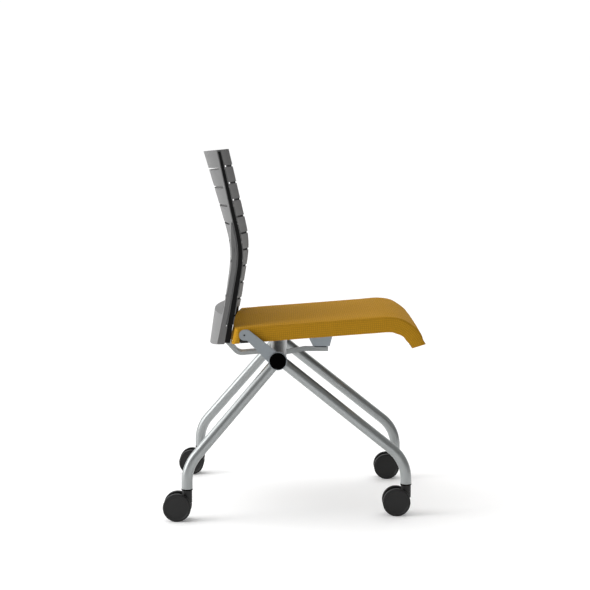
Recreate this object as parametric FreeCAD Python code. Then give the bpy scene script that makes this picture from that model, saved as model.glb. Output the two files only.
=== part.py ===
import FreeCAD, Part
import math
import os

os.makedirs("parts", exist_ok=True)

# Nesting chair on twin-wheel casters: a tube frame of two inverted V leg pairs on one cross
# tube, a flip-up padded seat hinged behind that tube, and a slatted back on two uprights.
# Lengths are millimetres and angles degrees. Three measures place every piece: ahead, from
# the cross tube's axis towards the sitter's knees; across, from the middle, plus on the
# sitter's left; and up, from the floor.

# Running clearances and seats
SHAFT_CLEARANCE = 0.05
SEAT_CLEARANCE = 0.3
WELD_GAP = 0.05

# Cross tube and its end caps
CROSS_TUBE_D = 38.0
CROSS_TUBE_WALL = 2.0
CROSS_TUBE_UP = 360.6
TUBE_PAST_BRACKET = 3.2
CAP_FLANGE = 3.0
CAP_SPIGOT = 14.0
CAP_EDGE_ROUND = 0.8

# Legs, bent from one tube size
LEG_D = 25.0
LEG_WALL = 1.8
LEG_BEND_R = 88.0
LEG_FOOT_UP = 72.0
REAR_TOP_INSET = 26.0
REAR_FOOT_AHEAD = -205.8
REAR_SPLAY = 42.8
REAR_CORNER_UP = 122.0
FRONT_TOP_INSET = 50.6
FRONT_FOOT_AHEAD = 293.9
FRONT_SPLAY = 10.0
FRONT_CORNER_UP = 126.1

# Casters
WHEEL_D = 63.5
WHEEL_W = 12.0
WHEEL_EDGE_ROUND = 2.5
WHEEL_DISH_DEPTH = 0.9
WHEEL_RIM = 5.0
WHEEL_HOLLOW_DEPTH = 6.5
WHEEL_HUB_D = 20.0
WHEEL_SIDE_GAP = 0.4
CASTER_TRAIL = 22.2
CASTER_BODY_W = 23.4
CASTER_CORE_D = 42.0
CASTER_NECK_D = 23.0
CASTER_NECK_LOW = 37.0
CASTER_NECK_CHAMFER = 4.0
AXLE_D = 8.0
AXLE_COVER = 3.0
STEM_D = 11.0
STEM_TOP_UP = 90.0
STEM_SEAT = 14.0
SOCKET_FLANGE_D = 25.6
SOCKET_FLANGE = 2.6
SOCKET_LENGTH = 11.0

# Seat hinge and its brackets
PIVOT_AHEAD = -75.7
PIVOT_UP = 419.3
PIVOT_PIN_D = 10.0
PIVOT_PIN_REACH = 24.0
PIN_SOCKET_FLATS = 4.0
PIN_SOCKET_DEPTH = 4.0
BRACKET_T = 7.0
BRACKET_END_R = 12.0
BRACKET_BOSS_R = 21.2
BRACKET_SIDE_GAP = 3.4
BRACKET_ELBOW = 9.2
BRACKET_ELBOW_R = 9.0
BRACKET_TOP_TURN = 8.0
BRACKET_FOOT_TURN = 9.6
BUSH_WALL = 2.0
BUSH_FLANGE_D = 18.0

# Seat pad: a sheet of even thickness that bends down over the front
SEAT_HALF_W = 240.0
SEAT_SLOPE = 4.4
SEAT_STRAIGHT = 342.8
SEAT_REAR_LEAN = 9.8
SEAT_REAR_BOW = 9.0
SEAT_BEND_AHEAD = 251.6
SEAT_BEND_UP = 371.9
SEAT_BEND_R = 88.0
SEAT_END_ANGLE = 17.0
PAD_T = 35.0
PAD_CROWN = 5.0
PAD_SIDE_DRAW = 2.0
PAD_EDGE_R = 5.5
PAD_SIDE_BULGE = 1.2
PAD_CORNER_R = 16.0
PAD_SECTION_PITCH = 24.0

# Seat pan under the pad, its hinge ears and the pad's notches for them
PAN_T = 7.0
PAN_INSET = 12.0
PAN_END_INSET = 7.0
PAN_RECESS = 0.4
EAR_R = 9.5
EAR_W = 22.0
EAR_INSET = 1.5
NOTCH_MARGIN = 1.8
NOTCH_DEPTH = 25.0

# Seat stop under the pan, and the bar that it lands on
REST_BAR_W = 25.0
REST_BAR_T = 9.5
REST_BAR_TOP_UP = 363.0
REST_BAR_END = 118.3
REST_BAR_ELBOW = 62.0
REST_BAR_DROP = 11.0
REST_BAR_BEND_R = 30.0
STOP_PAD_T = 3.0
STOP_PAD_W = 20.0
STOP_HALF_W = 21.0
STOP_FOOT_REAR = 82.2
STOP_FOOT_FRONT = 122.0
STOP_TOP_REAR = 60.0
STOP_TOP_FRONT = 135.0
STOP_ROUND = 3.0
STOP_REST_GAP = 0.2

# Bar that carries the back from the cross tube
BACK_BAR_W = 50.0
BACK_BAR_T = 8.0
BACK_BAR_START_UP = 356.5
BACK_BAR_ELBOW_AHEAD = -98.0
BACK_BAR_ELBOW_UP = 348.5
BACK_BAR_KNEE_AHEAD = -148.0
BACK_BAR_KNEE_UP = 404.0
BACK_BAR_TOP_AHEAD = -140.8
BACK_BAR_TOP_UP = 450.0
BACK_BAR_BEND_R = 24.0

# Back: the side view of its front edge is two straight leans joined at the lumbar
BACK_INSET = 22.0
BACK_FOOT_AHEAD = -99.4
LUMBAR_UP = 604.0
LUMBAR_R = 228.0
UPPER_LEAN = 13.0
LOWER_LEAN = 9.07
BACK_TOP_UP = 836.5
SHELL_BOTTOM_UP = 438.0
SHELL_T = 4.5
BULGE_TOP = 41.5
BULGE_BOTTOM = 18.0
BULGE_POWER = 1.5
SHELL_LIP = 2.2
SLAT_CUT_TILT = 5.0
SLOT_COUNT = 9
SLOT_HIGH = 4.6
SLOT_PITCH = 41.8
FIRST_SLOT_DOWN = 41.5
SLOT_END_MARGIN = 15.0

# Edge rails of the back
RAIL_W = 13.0
RAIL_DEPTH_TOP = 6.0
RAIL_DEPTH_BOTTOM = 12.0
RAIL_BOTTOM_UP = 398.0
RAIL_TOP_DOWN = 3.5
RAIL_PLAY = 0.15
RAIL_SINK = 0.5

# Carrier: the shroud behind the seat with an arm up each edge of the back
SHROUD_TOP_UP = 460.0
SHROUD_MID_REAR = -153.2
SHROUD_SIDE_REAR = -122.6
SHROUD_BOTTOM_MID_UP = 380.0
SHROUD_BOTTOM_SIDE_UP = 395.0
SHROUD_LEAN = 8.3
SHROUD_WALL = 3.0
SHROUD_SHELL_GAP = 1.0
SHROUD_CORNER_R = 10.0
ARM_W = 13.0
ARM_SHELL_GAP = 0.8
ARM_FLARE = 0.035
ARM_FLARE_UP = 470.0
ARM_DEPTH = 11.5
ARM_TIP_UP = 672.0
ARM_TAPER_START_UP = 625.0
ARM_TIP_DEPTH = 3.0
ARM_MARK_UP = 610.0
ARM_MARK_HIGH = 10.0
ARM_MARK_WIDE = 1.8
ARM_MARK_DEPTH = 1.2

# Screws
BAR_SCREW_D = 6.0
BAR_SCREW_HEAD_D = 11.0
BAR_SCREW_HEAD = 3.6
BAR_SCREW_GRIP = 6.0
BAR_SCREW_ACROSSES = (-16.0, 0.0, 16.0)
BAR_SCREW_DROP = 25.0
RAIL_SCREW_D = 4.0
RAIL_SCREW_HEAD_D = 8.0
RAIL_SCREW_HEAD = 2.6
RAIL_SCREW_LENGTH = 19.0
RAIL_SCREW_RISES = (8.0, 30.0)
ARM_SCREW_UPS = (505.0, 585.0)
ARM_SCREW_LENGTH = 19.0
HEAD_POCKET = 10.0
PAN_SCREW_D = 5.0
PAN_SCREW_HEAD_D = 11.0
PAN_SCREW_HEAD = 2.6
PAN_SCREW_GRIP = 10.0
PAN_SCREW_INSET = 90.0
PAN_SCREW_BACKS = (40.0, 160.0, 280.0)

# Sizes that follow from the ones above
BRACKET_ACROSS = SEAT_HALF_W + BRACKET_SIDE_GAP
CROSS_TUBE_HALF = BRACKET_ACROSS + BRACKET_T + TUBE_PAST_BRACKET
REAR_TOP_ACROSS = CROSS_TUBE_HALF - REAR_TOP_INSET
REAR_FOOT_ACROSS = REAR_TOP_ACROSS + REAR_SPLAY
FRONT_TOP_ACROSS = CROSS_TUBE_HALF - FRONT_TOP_INSET
FRONT_FOOT_ACROSS = FRONT_TOP_ACROSS + FRONT_SPLAY
BACK_HALF_W = SEAT_HALF_W - BACK_INSET
PAN_SCREW_ACROSS = SEAT_HALF_W - PAN_SCREW_INSET
LUMBAR_RISE = LUMBAR_UP - SHROUD_TOP_UP
LUMBAR_AHEAD = BACK_FOOT_AHEAD + LUMBAR_RISE * math.tan(math.radians(LOWER_LEAN))
BAR_SCREW_UP = BACK_BAR_TOP_UP - BAR_SCREW_DROP
RAIL_SCREW_UPS = [RAIL_BOTTOM_UP + rise for rise in RAIL_SCREW_RISES]
WHEEL_R = WHEEL_D / 2
CASTER_REACH = CASTER_TRAIL + WHEEL_R
SEAT_FRONT_AHEAD = SEAT_BEND_AHEAD + SEAT_BEND_R * math.cos(math.radians(SEAT_END_ANGLE))
CHAIR_REAR_AHEAD = REAR_FOOT_AHEAD - CASTER_REACH
ORIGIN_AHEAD = (SEAT_FRONT_AHEAD + CHAIR_REAR_AHEAD) / 2
RIGHT = -1
LEFT = 1
SIDES = {"right": RIGHT, "left": LEFT}
ACROSS_AXIS = FreeCAD.Vector(1, 0, 0)
UP_AXIS = FreeCAD.Vector(0, 0, 1)


def place(ahead, across, up):
    """A point of the chair, with the middle of its depth at the origin."""
    return FreeCAD.Vector(across, ORIGIN_AHEAD - ahead, up)


def heading(ahead, across, up):
    """A direction, in the same three measures as a point."""
    return FreeCAD.Vector(across, -ahead, up)


def round_corner(before, corner, after, radius):
    """Start, middle and end of the arc that rounds a corner."""
    back = (before - corner).normalize()
    onward = (after - corner).normalize()
    half = back.getAngle(onward) / 2
    reach = radius / math.tan(half)
    middle = corner + (back + onward).normalize() * (radius / math.sin(half) - radius)
    return corner + back * reach, middle, corner + onward * reach


def rounded_path(points, radii, closed=False):
    """Straight runs with rounded corners; a radius of 0 keeps a corner sharp."""
    count = len(points)
    arcs = []
    for index in range(count):
        at_end = not closed and index in (0, count - 1)
        if at_end or radii[index] == 0:
            arcs.append((points[index], None, points[index]))
            continue
        before = points[index - 1]
        after = points[(index + 1) % count]
        arcs.append(round_corner(before, points[index], after, radii[index]))
    edges = []
    for index in range(count):
        start, middle, end = arcs[index]
        if middle is not None:
            edges.append(Part.Arc(start, middle, end).toShape())
        last = index == count - 1
        if last and not closed:
            break
        following = arcs[(index + 1) % count][0]
        if end.distanceToPoint(following) > 1e-6:
            edges.append(Part.LineSegment(end, following).toShape())
    return Part.Wire(edges)


def side_plate(outline, radii, low, high):
    """A plate drawn in the side view (ahead, up) and filled from one across to another."""
    points = [place(ahead, low, up) for ahead, up in outline]
    face = Part.Face(rounded_path(points, radii, closed=True))
    return face.extrude(ACROSS_AXIS * (high - low))


def sharp_plate(outline, low, high):
    """A side-view plate with sharp corners."""
    return side_plate(outline, [0] * len(outline), low, high)


def across_rod(ahead, up, radius, low, high):
    """A round bar lying across the chair."""
    return Part.makeCylinder(radius, high - low, place(ahead, low, up), ACROSS_AXIS)


def upright_rod(ahead, across, radius, low, high):
    """A round bar standing up."""
    return Part.makeCylinder(radius, high - low, place(ahead, across, low), UP_AXIS)


def block(ahead_low, ahead_high, across_low, across_high, up_low, up_high):
    """A box between two values of each measure."""
    corner = place(ahead_high, across_low, up_low)
    size = (across_high - across_low, ahead_high - ahead_low, up_high - up_low)
    return Part.makeBox(size[0], size[1], size[2], corner)


def sweep_round(path, radius):
    """A solid round bar along a path."""
    start = path.Edges[0].Vertexes[0].Point
    tangent = path.Edges[0].tangentAt(path.Edges[0].FirstParameter)
    circle = Part.Wire([Part.Circle(start, tangent, radius).toShape()])
    return path.makePipeShell([circle], True, False)


def sweep_flat(path, width, thickness):
    """A solid flat bar along a path that lies in a side-view plane."""
    start = path.Edges[0].Vertexes[0].Point
    tangent = path.Edges[0].tangentAt(path.Edges[0].FirstParameter)
    wide = ACROSS_AXIS * (width / 2)
    thick = tangent.cross(ACROSS_AXIS).normalize() * (thickness / 2)
    corners = [start - wide - thick, start + wide - thick, start + wide + thick, start - wide + thick]
    section = Part.makePolygon(corners + [corners[0]])
    return path.makePipeShell([section], True, False)


def loft(wires, ruled=False):
    """A solid through closed sections."""
    return Part.makeLoft(wires, True, ruled)


def span(low, high, side):
    """Two distances from the middle, as an ordered pair of across values on one side."""
    return (low, high) if side > 0 else (-high, -low)


def save(name, shape):
    """Write one piece, or one group of like pieces, under its name."""
    shape.exportStep(os.path.join("parts", name + ".step"))
    print(name, len(shape.Solids), round(shape.Volume, 1), shape.isValid())


# Frame

def cross_tube():
    outer = across_rod(0, CROSS_TUBE_UP, CROSS_TUBE_D / 2, -CROSS_TUBE_HALF, CROSS_TUBE_HALF)
    bore = across_rod(0, CROSS_TUBE_UP, CROSS_TUBE_D / 2 - CROSS_TUBE_WALL,
                      -CROSS_TUBE_HALF, CROSS_TUBE_HALF)
    return outer.cut(bore)


def cross_tube_space():
    """The room that pieces welded to the cross tube are coped to."""
    radius = CROSS_TUBE_D / 2 + WELD_GAP
    return across_rod(0, CROSS_TUBE_UP, radius, -CROSS_TUBE_HALF, CROSS_TUBE_HALF)


def end_cap(side):
    spigot_r = CROSS_TUBE_D / 2 - CROSS_TUBE_WALL - WELD_GAP
    low, high = span(CROSS_TUBE_HALF, CROSS_TUBE_HALF + CAP_FLANGE, side)
    flange = across_rod(0, CROSS_TUBE_UP, CROSS_TUBE_D / 2, low, high)
    rim = [edge for edge in flange.Edges
           if abs(abs(edge.CenterOfMass.x) - CROSS_TUBE_HALF - CAP_FLANGE) < 1e-3
           and edge.Closed]
    flange = flange.makeFillet(CAP_EDGE_ROUND, rim)
    low, high = span(CROSS_TUBE_HALF - CAP_SPIGOT, CROSS_TUBE_HALF, side)
    return flange.fuse(across_rod(0, CROSS_TUBE_UP, spigot_r, low, high))


def leg(top_across, foot_ahead, foot_across, corner_up, side):
    points = [place(0, side * top_across, CROSS_TUBE_UP),
              place(foot_ahead, side * foot_across, corner_up),
              place(foot_ahead, side * foot_across, LEG_FOOT_UP)]
    path = rounded_path(points, [0, LEG_BEND_R, 0])
    outer = sweep_round(path, LEG_D / 2)
    bore = sweep_round(path, LEG_D / 2 - LEG_WALL)
    return outer.cut(bore).cut(cross_tube_space())


def bracket(side):
    """Flat hinge arm: a boss round the tube's end that narrows to a round end at the pin."""
    top_turn = math.radians(BRACKET_TOP_TURN)
    foot_turn = math.radians(BRACKET_FOOT_TURN)
    outline = [(PIVOT_AHEAD, PIVOT_UP + BRACKET_END_R),
               (PIVOT_AHEAD + BRACKET_ELBOW, PIVOT_UP + BRACKET_END_R),
               (-BRACKET_BOSS_R * math.sin(top_turn),
                CROSS_TUBE_UP + BRACKET_BOSS_R * math.cos(top_turn)),
               (0, CROSS_TUBE_UP),
               (-BRACKET_BOSS_R * math.cos(foot_turn),
                CROSS_TUBE_UP - BRACKET_BOSS_R * math.sin(foot_turn)),
               (PIVOT_AHEAD + BRACKET_ELBOW * 0.7, PIVOT_UP - BRACKET_END_R),
               (PIVOT_AHEAD, PIVOT_UP - BRACKET_END_R)]
    radii = [0, BRACKET_ELBOW_R, 0, 0, 0, BRACKET_ELBOW_R * 0.5, 0]
    low, high = span(BRACKET_ACROSS, BRACKET_ACROSS + BRACKET_T, side)
    arm = side_plate(outline, radii, low, high)
    arm = arm.fuse(across_rod(PIVOT_AHEAD, PIVOT_UP, BRACKET_END_R, low, high))
    arm = arm.fuse(across_rod(0, CROSS_TUBE_UP, BRACKET_BOSS_R, low, high)).removeSplitter()
    arm = arm.cut(cross_tube_space())
    return arm.cut(across_rod(PIVOT_AHEAD, PIVOT_UP, PIVOT_PIN_D / 2 + WELD_GAP, low, high))


def pivot_pin(side):
    """Shoulder pin, flush with the bracket and driven by a hexagon socket."""
    outer = BRACKET_ACROSS + BRACKET_T
    low, high = span(SEAT_HALF_W - PIVOT_PIN_REACH + EAR_INSET, outer, side)
    pin = across_rod(PIVOT_AHEAD, PIVOT_UP, PIVOT_PIN_D / 2, low, high)
    flats_r = PIN_SOCKET_FLATS / math.sqrt(3)
    corners = []
    for index in range(7):
        turn = math.radians(60 * index)
        corners.append(place(PIVOT_AHEAD + flats_r * math.cos(turn),
                             side * (outer - PIN_SOCKET_DEPTH),
                             PIVOT_UP + flats_r * math.sin(turn)))
    hexagon = Part.Face(Part.makePolygon(corners))
    return pin.cut(hexagon.extrude(ACROSS_AXIS * (side * (PIN_SOCKET_DEPTH + 1))))


def rest_bar():
    """Flat bar ahead of the cross tube that the seat stop lands on."""
    middle_up = REST_BAR_TOP_UP - REST_BAR_T / 2
    points = [place(0, 0, middle_up - REST_BAR_DROP),
              place(REST_BAR_ELBOW, 0, middle_up),
              place(REST_BAR_END, 0, middle_up)]
    path = rounded_path(points, [0, REST_BAR_BEND_R, 0])
    return sweep_flat(path, REST_BAR_W, REST_BAR_T).cut(cross_tube_space())


def back_bar_points():
    return [(0, BACK_BAR_START_UP), (BACK_BAR_ELBOW_AHEAD, BACK_BAR_ELBOW_UP),
            (BACK_BAR_KNEE_AHEAD, BACK_BAR_KNEE_UP), (BACK_BAR_TOP_AHEAD, BACK_BAR_TOP_UP)]


def back_bar():
    """Flat bar behind the cross tube that turns up into the shroud."""
    points = [place(ahead, 0, up) for ahead, up in back_bar_points()]
    path = rounded_path(points, [0, BACK_BAR_BEND_R, BACK_BAR_BEND_R, 0])
    bar = sweep_flat(path, BACK_BAR_W, BACK_BAR_T).cut(cross_tube_space())
    hole_r = BAR_SCREW_D / 2 + SEAT_CLEARANCE
    for across in BAR_SCREW_ACROSSES:
        bar = bar.cut(bar_screw_rod(BAR_SCREW_UP, across, hole_r, BACK_BAR_T, BACK_BAR_T))
    return bar


def back_bar_ahead(up):
    """Middle of the back bar's upper run at a height."""
    share = (up - BACK_BAR_KNEE_UP) / (BACK_BAR_TOP_UP - BACK_BAR_KNEE_UP)
    return BACK_BAR_KNEE_AHEAD + share * (BACK_BAR_TOP_AHEAD - BACK_BAR_KNEE_AHEAD)


def bar_screw_rod(up, across, radius, forward, rearward):
    """A rod through the back bar, square to its upper run."""
    run = heading(BACK_BAR_TOP_AHEAD - BACK_BAR_KNEE_AHEAD, 0, BACK_BAR_TOP_UP - BACK_BAR_KNEE_UP)
    toward_rear = run.cross(ACROSS_AXIS).normalize()
    if toward_rear.y < 0:
        toward_rear = -toward_rear
    start = place(back_bar_ahead(up), across, up) - toward_rear * forward
    return Part.makeCylinder(radius, forward + rearward, start, toward_rear)


def bar_screws():
    screws = []
    half = BACK_BAR_T / 2
    for across in BAR_SCREW_ACROSSES:
        shank = bar_screw_rod(BAR_SCREW_UP, across, BAR_SCREW_D / 2,
                              half + WELD_GAP + BAR_SCREW_HEAD, half + BAR_SCREW_GRIP)
        head = bar_screw_rod(BAR_SCREW_UP, across, BAR_SCREW_HEAD_D / 2,
                             half + WELD_GAP + BAR_SCREW_HEAD, -half - WELD_GAP)
        screws.append(shank.fuse(head))
    return Part.makeCompound(screws)


# Back

def lumbar_circle():
    """Centre of the arc that joins the two leans, and the heights where it meets them."""
    half = math.radians((UPPER_LEAN + LOWER_LEAN) / 2)
    tilt = math.radians((UPPER_LEAN - LOWER_LEAN) / 2)
    reach = LUMBAR_R / math.cos(half)
    centre = (LUMBAR_AHEAD - reach * math.cos(tilt), LUMBAR_UP - reach * math.sin(tilt))
    length = LUMBAR_R * math.tan(half)
    low = LUMBAR_UP - length * math.cos(math.radians(LOWER_LEAN))
    high = LUMBAR_UP + length * math.cos(math.radians(UPPER_LEAN))
    return centre, low, high


def rail_front(up):
    """Front of the edge rails at a height."""
    centre, low, high = lumbar_circle()
    if up > high:
        return LUMBAR_AHEAD - (up - LUMBAR_UP) * math.tan(math.radians(UPPER_LEAN))
    if up < low:
        return LUMBAR_AHEAD - (LUMBAR_UP - up) * math.tan(math.radians(LOWER_LEAN))
    return centre[0] + math.sqrt(LUMBAR_R ** 2 - (up - centre[1]) ** 2)


def rail_rear(up):
    """Rear of the edge rails at a height."""
    share = (BACK_TOP_UP - up) / (BACK_TOP_UP - RAIL_BOTTOM_UP)
    return rail_front(up) - RAIL_DEPTH_TOP - share * (RAIL_DEPTH_BOTTOM - RAIL_DEPTH_TOP)


def rear_bulge(up):
    """How far the back's middle stands behind its edges."""
    share = max(0.0, (up - SHELL_BOTTOM_UP) / (BACK_TOP_UP - SHELL_BOTTOM_UP))
    return BULGE_BOTTOM + (BULGE_TOP - BULGE_BOTTOM) * share ** BULGE_POWER


def shell_edges(up):
    """Front edge, front middle, rear edge and rear middle of the back shell at a height."""
    front = rail_front(up) + SHELL_LIP
    rear = rail_rear(up) - SHELL_LIP
    rear_middle = rear - rear_bulge(up)
    return front, rear_middle + SHELL_T, rear, rear_middle


def edge_slope(bulge):
    """Slope of a bowed face where it meets the side of the back."""
    radius = (BACK_HALF_W ** 2 + bulge ** 2) / (2 * bulge)
    return BACK_HALF_W / (radius - bulge)


def back_heights(low, high, count):
    return [low + (high - low) * index / (count - 1) for index in range(count)]


def shell_section(up):
    front, front_middle, rear, rear_middle = shell_edges(up)
    half = BACK_HALF_W
    corners = [place(front, -half, up), place(front, half, up), place(rear, half, up),
               place(rear, -half, up)]
    return Part.Wire([
        Part.Arc(corners[0], place(front_middle, 0, up), corners[1]).toShape(),
        Part.LineSegment(corners[1], corners[2]).toShape(),
        Part.Arc(corners[2], place(rear_middle, 0, up), corners[3]).toShape(),
        Part.LineSegment(corners[3], corners[0]).toShape()])


def shell_blank():
    """The bowed back before its top, bottom, slots and rail grooves are cut."""
    margin = 12.0
    heights = back_heights(SHELL_BOTTOM_UP - margin, BACK_TOP_UP + margin, 13)
    return loft([shell_section(up) for up in heights])


def rail_section(up, side, inner, outer, play):
    """Cross-section of an edge rail between two distances in from the back's side."""
    front, front_middle, rear, rear_middle = shell_edges(up)
    front_slope = edge_slope(front - front_middle)
    rear_slope = edge_slope(rear - rear_middle)
    face = rail_front(up) + play
    tail = rail_rear(up) - play
    corners = []
    for inset, base, slope in ((outer, face, front_slope), (inner, face, front_slope),
                               (inner, tail, rear_slope), (outer, tail, rear_slope)):
        corners.append(place(base - inset * slope, side * (BACK_HALF_W - inset), up))
    return Part.makePolygon(corners + [corners[0]])


def rail_solid(side, low, high, inner, outer, play):
    heights = back_heights(low, high, 13)
    return loft([rail_section(up, side, inner, outer, play) for up in heights])


def tilted_slab(up, high, half_width, ahead_low, ahead_high):
    """A level slab that dips to the rear, as the slats' edges do, about the rails' front."""
    slab = block(ahead_low, ahead_high, -half_width, half_width, up, up + high)
    slab.rotate(place(rail_front(up), 0, up), ACROSS_AXIS, -SLAT_CUT_TILT)
    return slab


def slot_heights():
    return [BACK_TOP_UP - FIRST_SLOT_DOWN - SLOT_PITCH * index for index in range(SLOT_COUNT)]


def back_shell():
    reach = 120.0
    deep = LUMBAR_AHEAD - 150.0
    shell = shell_blank()
    shell = shell.cut(tilted_slab(BACK_TOP_UP, reach, BACK_HALF_W + reach, deep, reach))
    shell = shell.cut(tilted_slab(SHELL_BOTTOM_UP - reach, reach, BACK_HALF_W + reach, deep, reach))
    for side in SIDES.values():
        groove = rail_solid(side, RAIL_BOTTOM_UP, BACK_TOP_UP - RAIL_TOP_DOWN + RAIL_PLAY,
                            RAIL_W + RAIL_PLAY, -2.0, RAIL_PLAY)
        shell = shell.cut(groove)
        for up in ARM_SCREW_UPS:
            shell = shell.cut(arm_screw(up, side, SEAT_CLEARANCE))
    for middle in slot_heights():
        low = middle - SLOT_HIGH / 2
        through = BACK_HALF_W - SLOT_END_MARGIN
        shell = shell.cut(tilted_slab(low, SLOT_HIGH, through, deep, reach))
        lip_from = (rail_front(middle) + rail_rear(middle)) / 2
        shell = shell.cut(tilted_slab(low, SLOT_HIGH, BACK_HALF_W + 5, lip_from, reach))
    return shell


def edge_rail(side):
    rail = rail_solid(side, RAIL_BOTTOM_UP, BACK_TOP_UP - RAIL_TOP_DOWN, RAIL_W, RAIL_SINK, 0)
    for up in RAIL_SCREW_UPS:
        rail = rail.cut(rail_screw(up, side, SEAT_CLEARANCE / 2))
    for up in ARM_SCREW_UPS:
        rail = rail.cut(arm_screw(up, side, SEAT_CLEARANCE / 2))
    return rail


def fastening_across():
    """Where the rail and arm screws stand, in the middle of the arm's width."""
    return BACK_HALF_W - RAIL_W / 2


def edge_screw(start, direction, length, extra):
    """A pan-head screw, or with extra room the hole for it, open behind the head."""
    behind = HEAD_POCKET if extra > 0 else 0
    head = Part.makeCylinder(RAIL_SCREW_HEAD_D / 2 + extra, RAIL_SCREW_HEAD + behind + extra,
                             start - direction * behind, direction)
    shank = Part.makeCylinder(RAIL_SCREW_D / 2 + extra, length + extra, start, direction)
    return head.fuse(shank)


def rail_screw(up, side, extra=0.0):
    """Screw from the front through the rail's foot into the carrier, head sunk in the rail."""
    lean = edge_slope(rear_bulge(up)) * RAIL_W / 2
    ahead = rail_front(up) - lean - RAIL_SCREW_HEAD / 2
    start = place(ahead, side * fastening_across(), up)
    return edge_screw(start, heading(-1, 0, 0), RAIL_SCREW_LENGTH, extra)


def arm_screw(up, side, extra=0.0):
    """Screw from behind through the arm and the shell's rear lip into the rail."""
    lean = edge_slope(rear_bulge(up)) * RAIL_W / 2
    ahead = arm_rear(up) - lean - RAIL_SCREW_HEAD / 2
    start = place(ahead, side * fastening_across(), up)
    return edge_screw(start, heading(1, 0, 0), ARM_SCREW_LENGTH, extra)


# Carrier

def arm_front(up):
    """Front face of the carrier's arms, just behind the shell's lip and its flared foot."""
    flare = ARM_FLARE * max(0.0, ARM_FLARE_UP - up)
    return rail_rear(up) - SHELL_LIP - ARM_SHELL_GAP - flare


def arm_rear(up):
    share = max(0.0, (up - ARM_TAPER_START_UP) / (ARM_TIP_UP - ARM_TAPER_START_UP))
    return arm_front(up) - ARM_DEPTH + share * (ARM_DEPTH - ARM_TIP_DEPTH)


def arm_section(up, side, front, rear):
    """Cross-section of an arm; its faces keep to the bowed rear of the shell."""
    slope = edge_slope(rear_bulge(up))
    outer = 1.0
    inner = outer + ARM_W
    corners = []
    for inset, ahead in ((outer, front), (inner, front), (inner, rear), (outer, rear)):
        corners.append(place(ahead - inset * slope, side * (BACK_HALF_W - inset), up))
    return Part.makePolygon(corners + [corners[0]])


def carrier_arm(side):
    """Arm behind the edge of the back, with a thicker foot where the rail has no shell."""
    low = SHROUD_BOTTOM_SIDE_UP
    heights = back_heights(low, ARM_TAPER_START_UP, 12) + [ARM_TIP_UP]
    arm = loft([arm_section(up, side, arm_front(up), arm_rear(up)) for up in heights], ruled=True)
    heights = back_heights(low, SHELL_BOTTOM_UP - 3, 3)
    foot = loft([arm_section(up, side, rail_rear(up) - SEAT_CLEARANCE, arm_rear(up) + 2)
                 for up in heights], ruled=True)
    return arm.fuse(foot)


def shroud_body(top_up, inset, front_side, front_middle, low_up):
    """Plan outline of the shroud, set in by a wall, run down along its lean."""
    shift = (SHROUD_TOP_UP - top_up) * math.tan(math.radians(SHROUD_LEAN))
    half = BACK_HALF_W - 1 - inset
    side_rear = SHROUD_SIDE_REAR - shift + inset
    middle_rear = SHROUD_MID_REAR - shift + inset
    bulge = side_rear - middle_rear
    corner_r = SHROUD_CORNER_R - inset
    arc_r = (half ** 2 + bulge ** 2) / (2 * bulge)
    arc_centre = middle_rear + arc_r
    # The corner arc is tangent inside both the side line and the rear arc
    corner_across = half - corner_r
    corner_ahead = arc_centre - math.sqrt((arc_r - corner_r) ** 2 - corner_across ** 2)
    turn = math.atan2(corner_across, arc_centre - corner_ahead)

    def on_corner(side, angle):
        return place(corner_ahead - corner_r * math.cos(angle),
                     side * (corner_across + corner_r * math.sin(angle)), top_up)

    middle_turn = (turn + math.pi / 2) / 2
    right = [on_corner(-1, math.pi / 2), on_corner(-1, middle_turn), on_corner(-1, turn)]
    left = [on_corner(1, math.pi / 2), on_corner(1, middle_turn), on_corner(1, turn)]
    front_left = place(front_side, half, top_up)
    front_right = place(front_side, -half, top_up)
    outline = Part.Wire([
        Part.Arc(front_right, place(front_middle, 0, top_up), front_left).toShape(),
        Part.LineSegment(front_left, left[0]).toShape(),
        Part.Arc(left[0], left[1], left[2]).toShape(),
        Part.Arc(left[2], place(middle_rear, 0, top_up), right[2]).toShape(),
        Part.Arc(right[2], right[1], right[0]).toShape(),
        Part.LineSegment(right[0], front_right).toShape()])
    drop = top_up - low_up
    lean = heading(-drop * math.tan(math.radians(SHROUD_LEAN)), 0, -drop)
    return Part.Face(outline).extrude(lean)


def shroud():
    """Closed rear cover with a roof, open below and towards the seat."""
    low = SHROUD_BOTTOM_MID_UP - 5
    front = arm_front(SHROUD_TOP_UP) - SHROUD_SHELL_GAP
    outer = shroud_body(SHROUD_TOP_UP, 0, front, front - rear_bulge(SHROUD_TOP_UP), low)
    inner = shroud_body(SHROUD_TOP_UP - SHROUD_WALL, SHROUD_WALL, LUMBAR_AHEAD,
                        LUMBAR_AHEAD + 5, low - 1)
    cover = outer.cut(inner)
    rise = SHROUD_BOTTOM_SIDE_UP - SHROUD_BOTTOM_MID_UP
    arc_r = (BACK_HALF_W ** 2 + rise ** 2) / (2 * rise)
    far = LUMBAR_AHEAD - 150.0
    hem = Part.makeCylinder(arc_r, 200.0,
                            place(far, 0, SHROUD_BOTTOM_MID_UP + arc_r), heading(1, 0, 0))
    keep = hem.fuse(block(far, far + 200, -arc_r, arc_r, SHROUD_BOTTOM_MID_UP + arc_r,
                          SHROUD_BOTTOM_MID_UP + arc_r + 10))
    return cover.common(keep)


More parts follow.
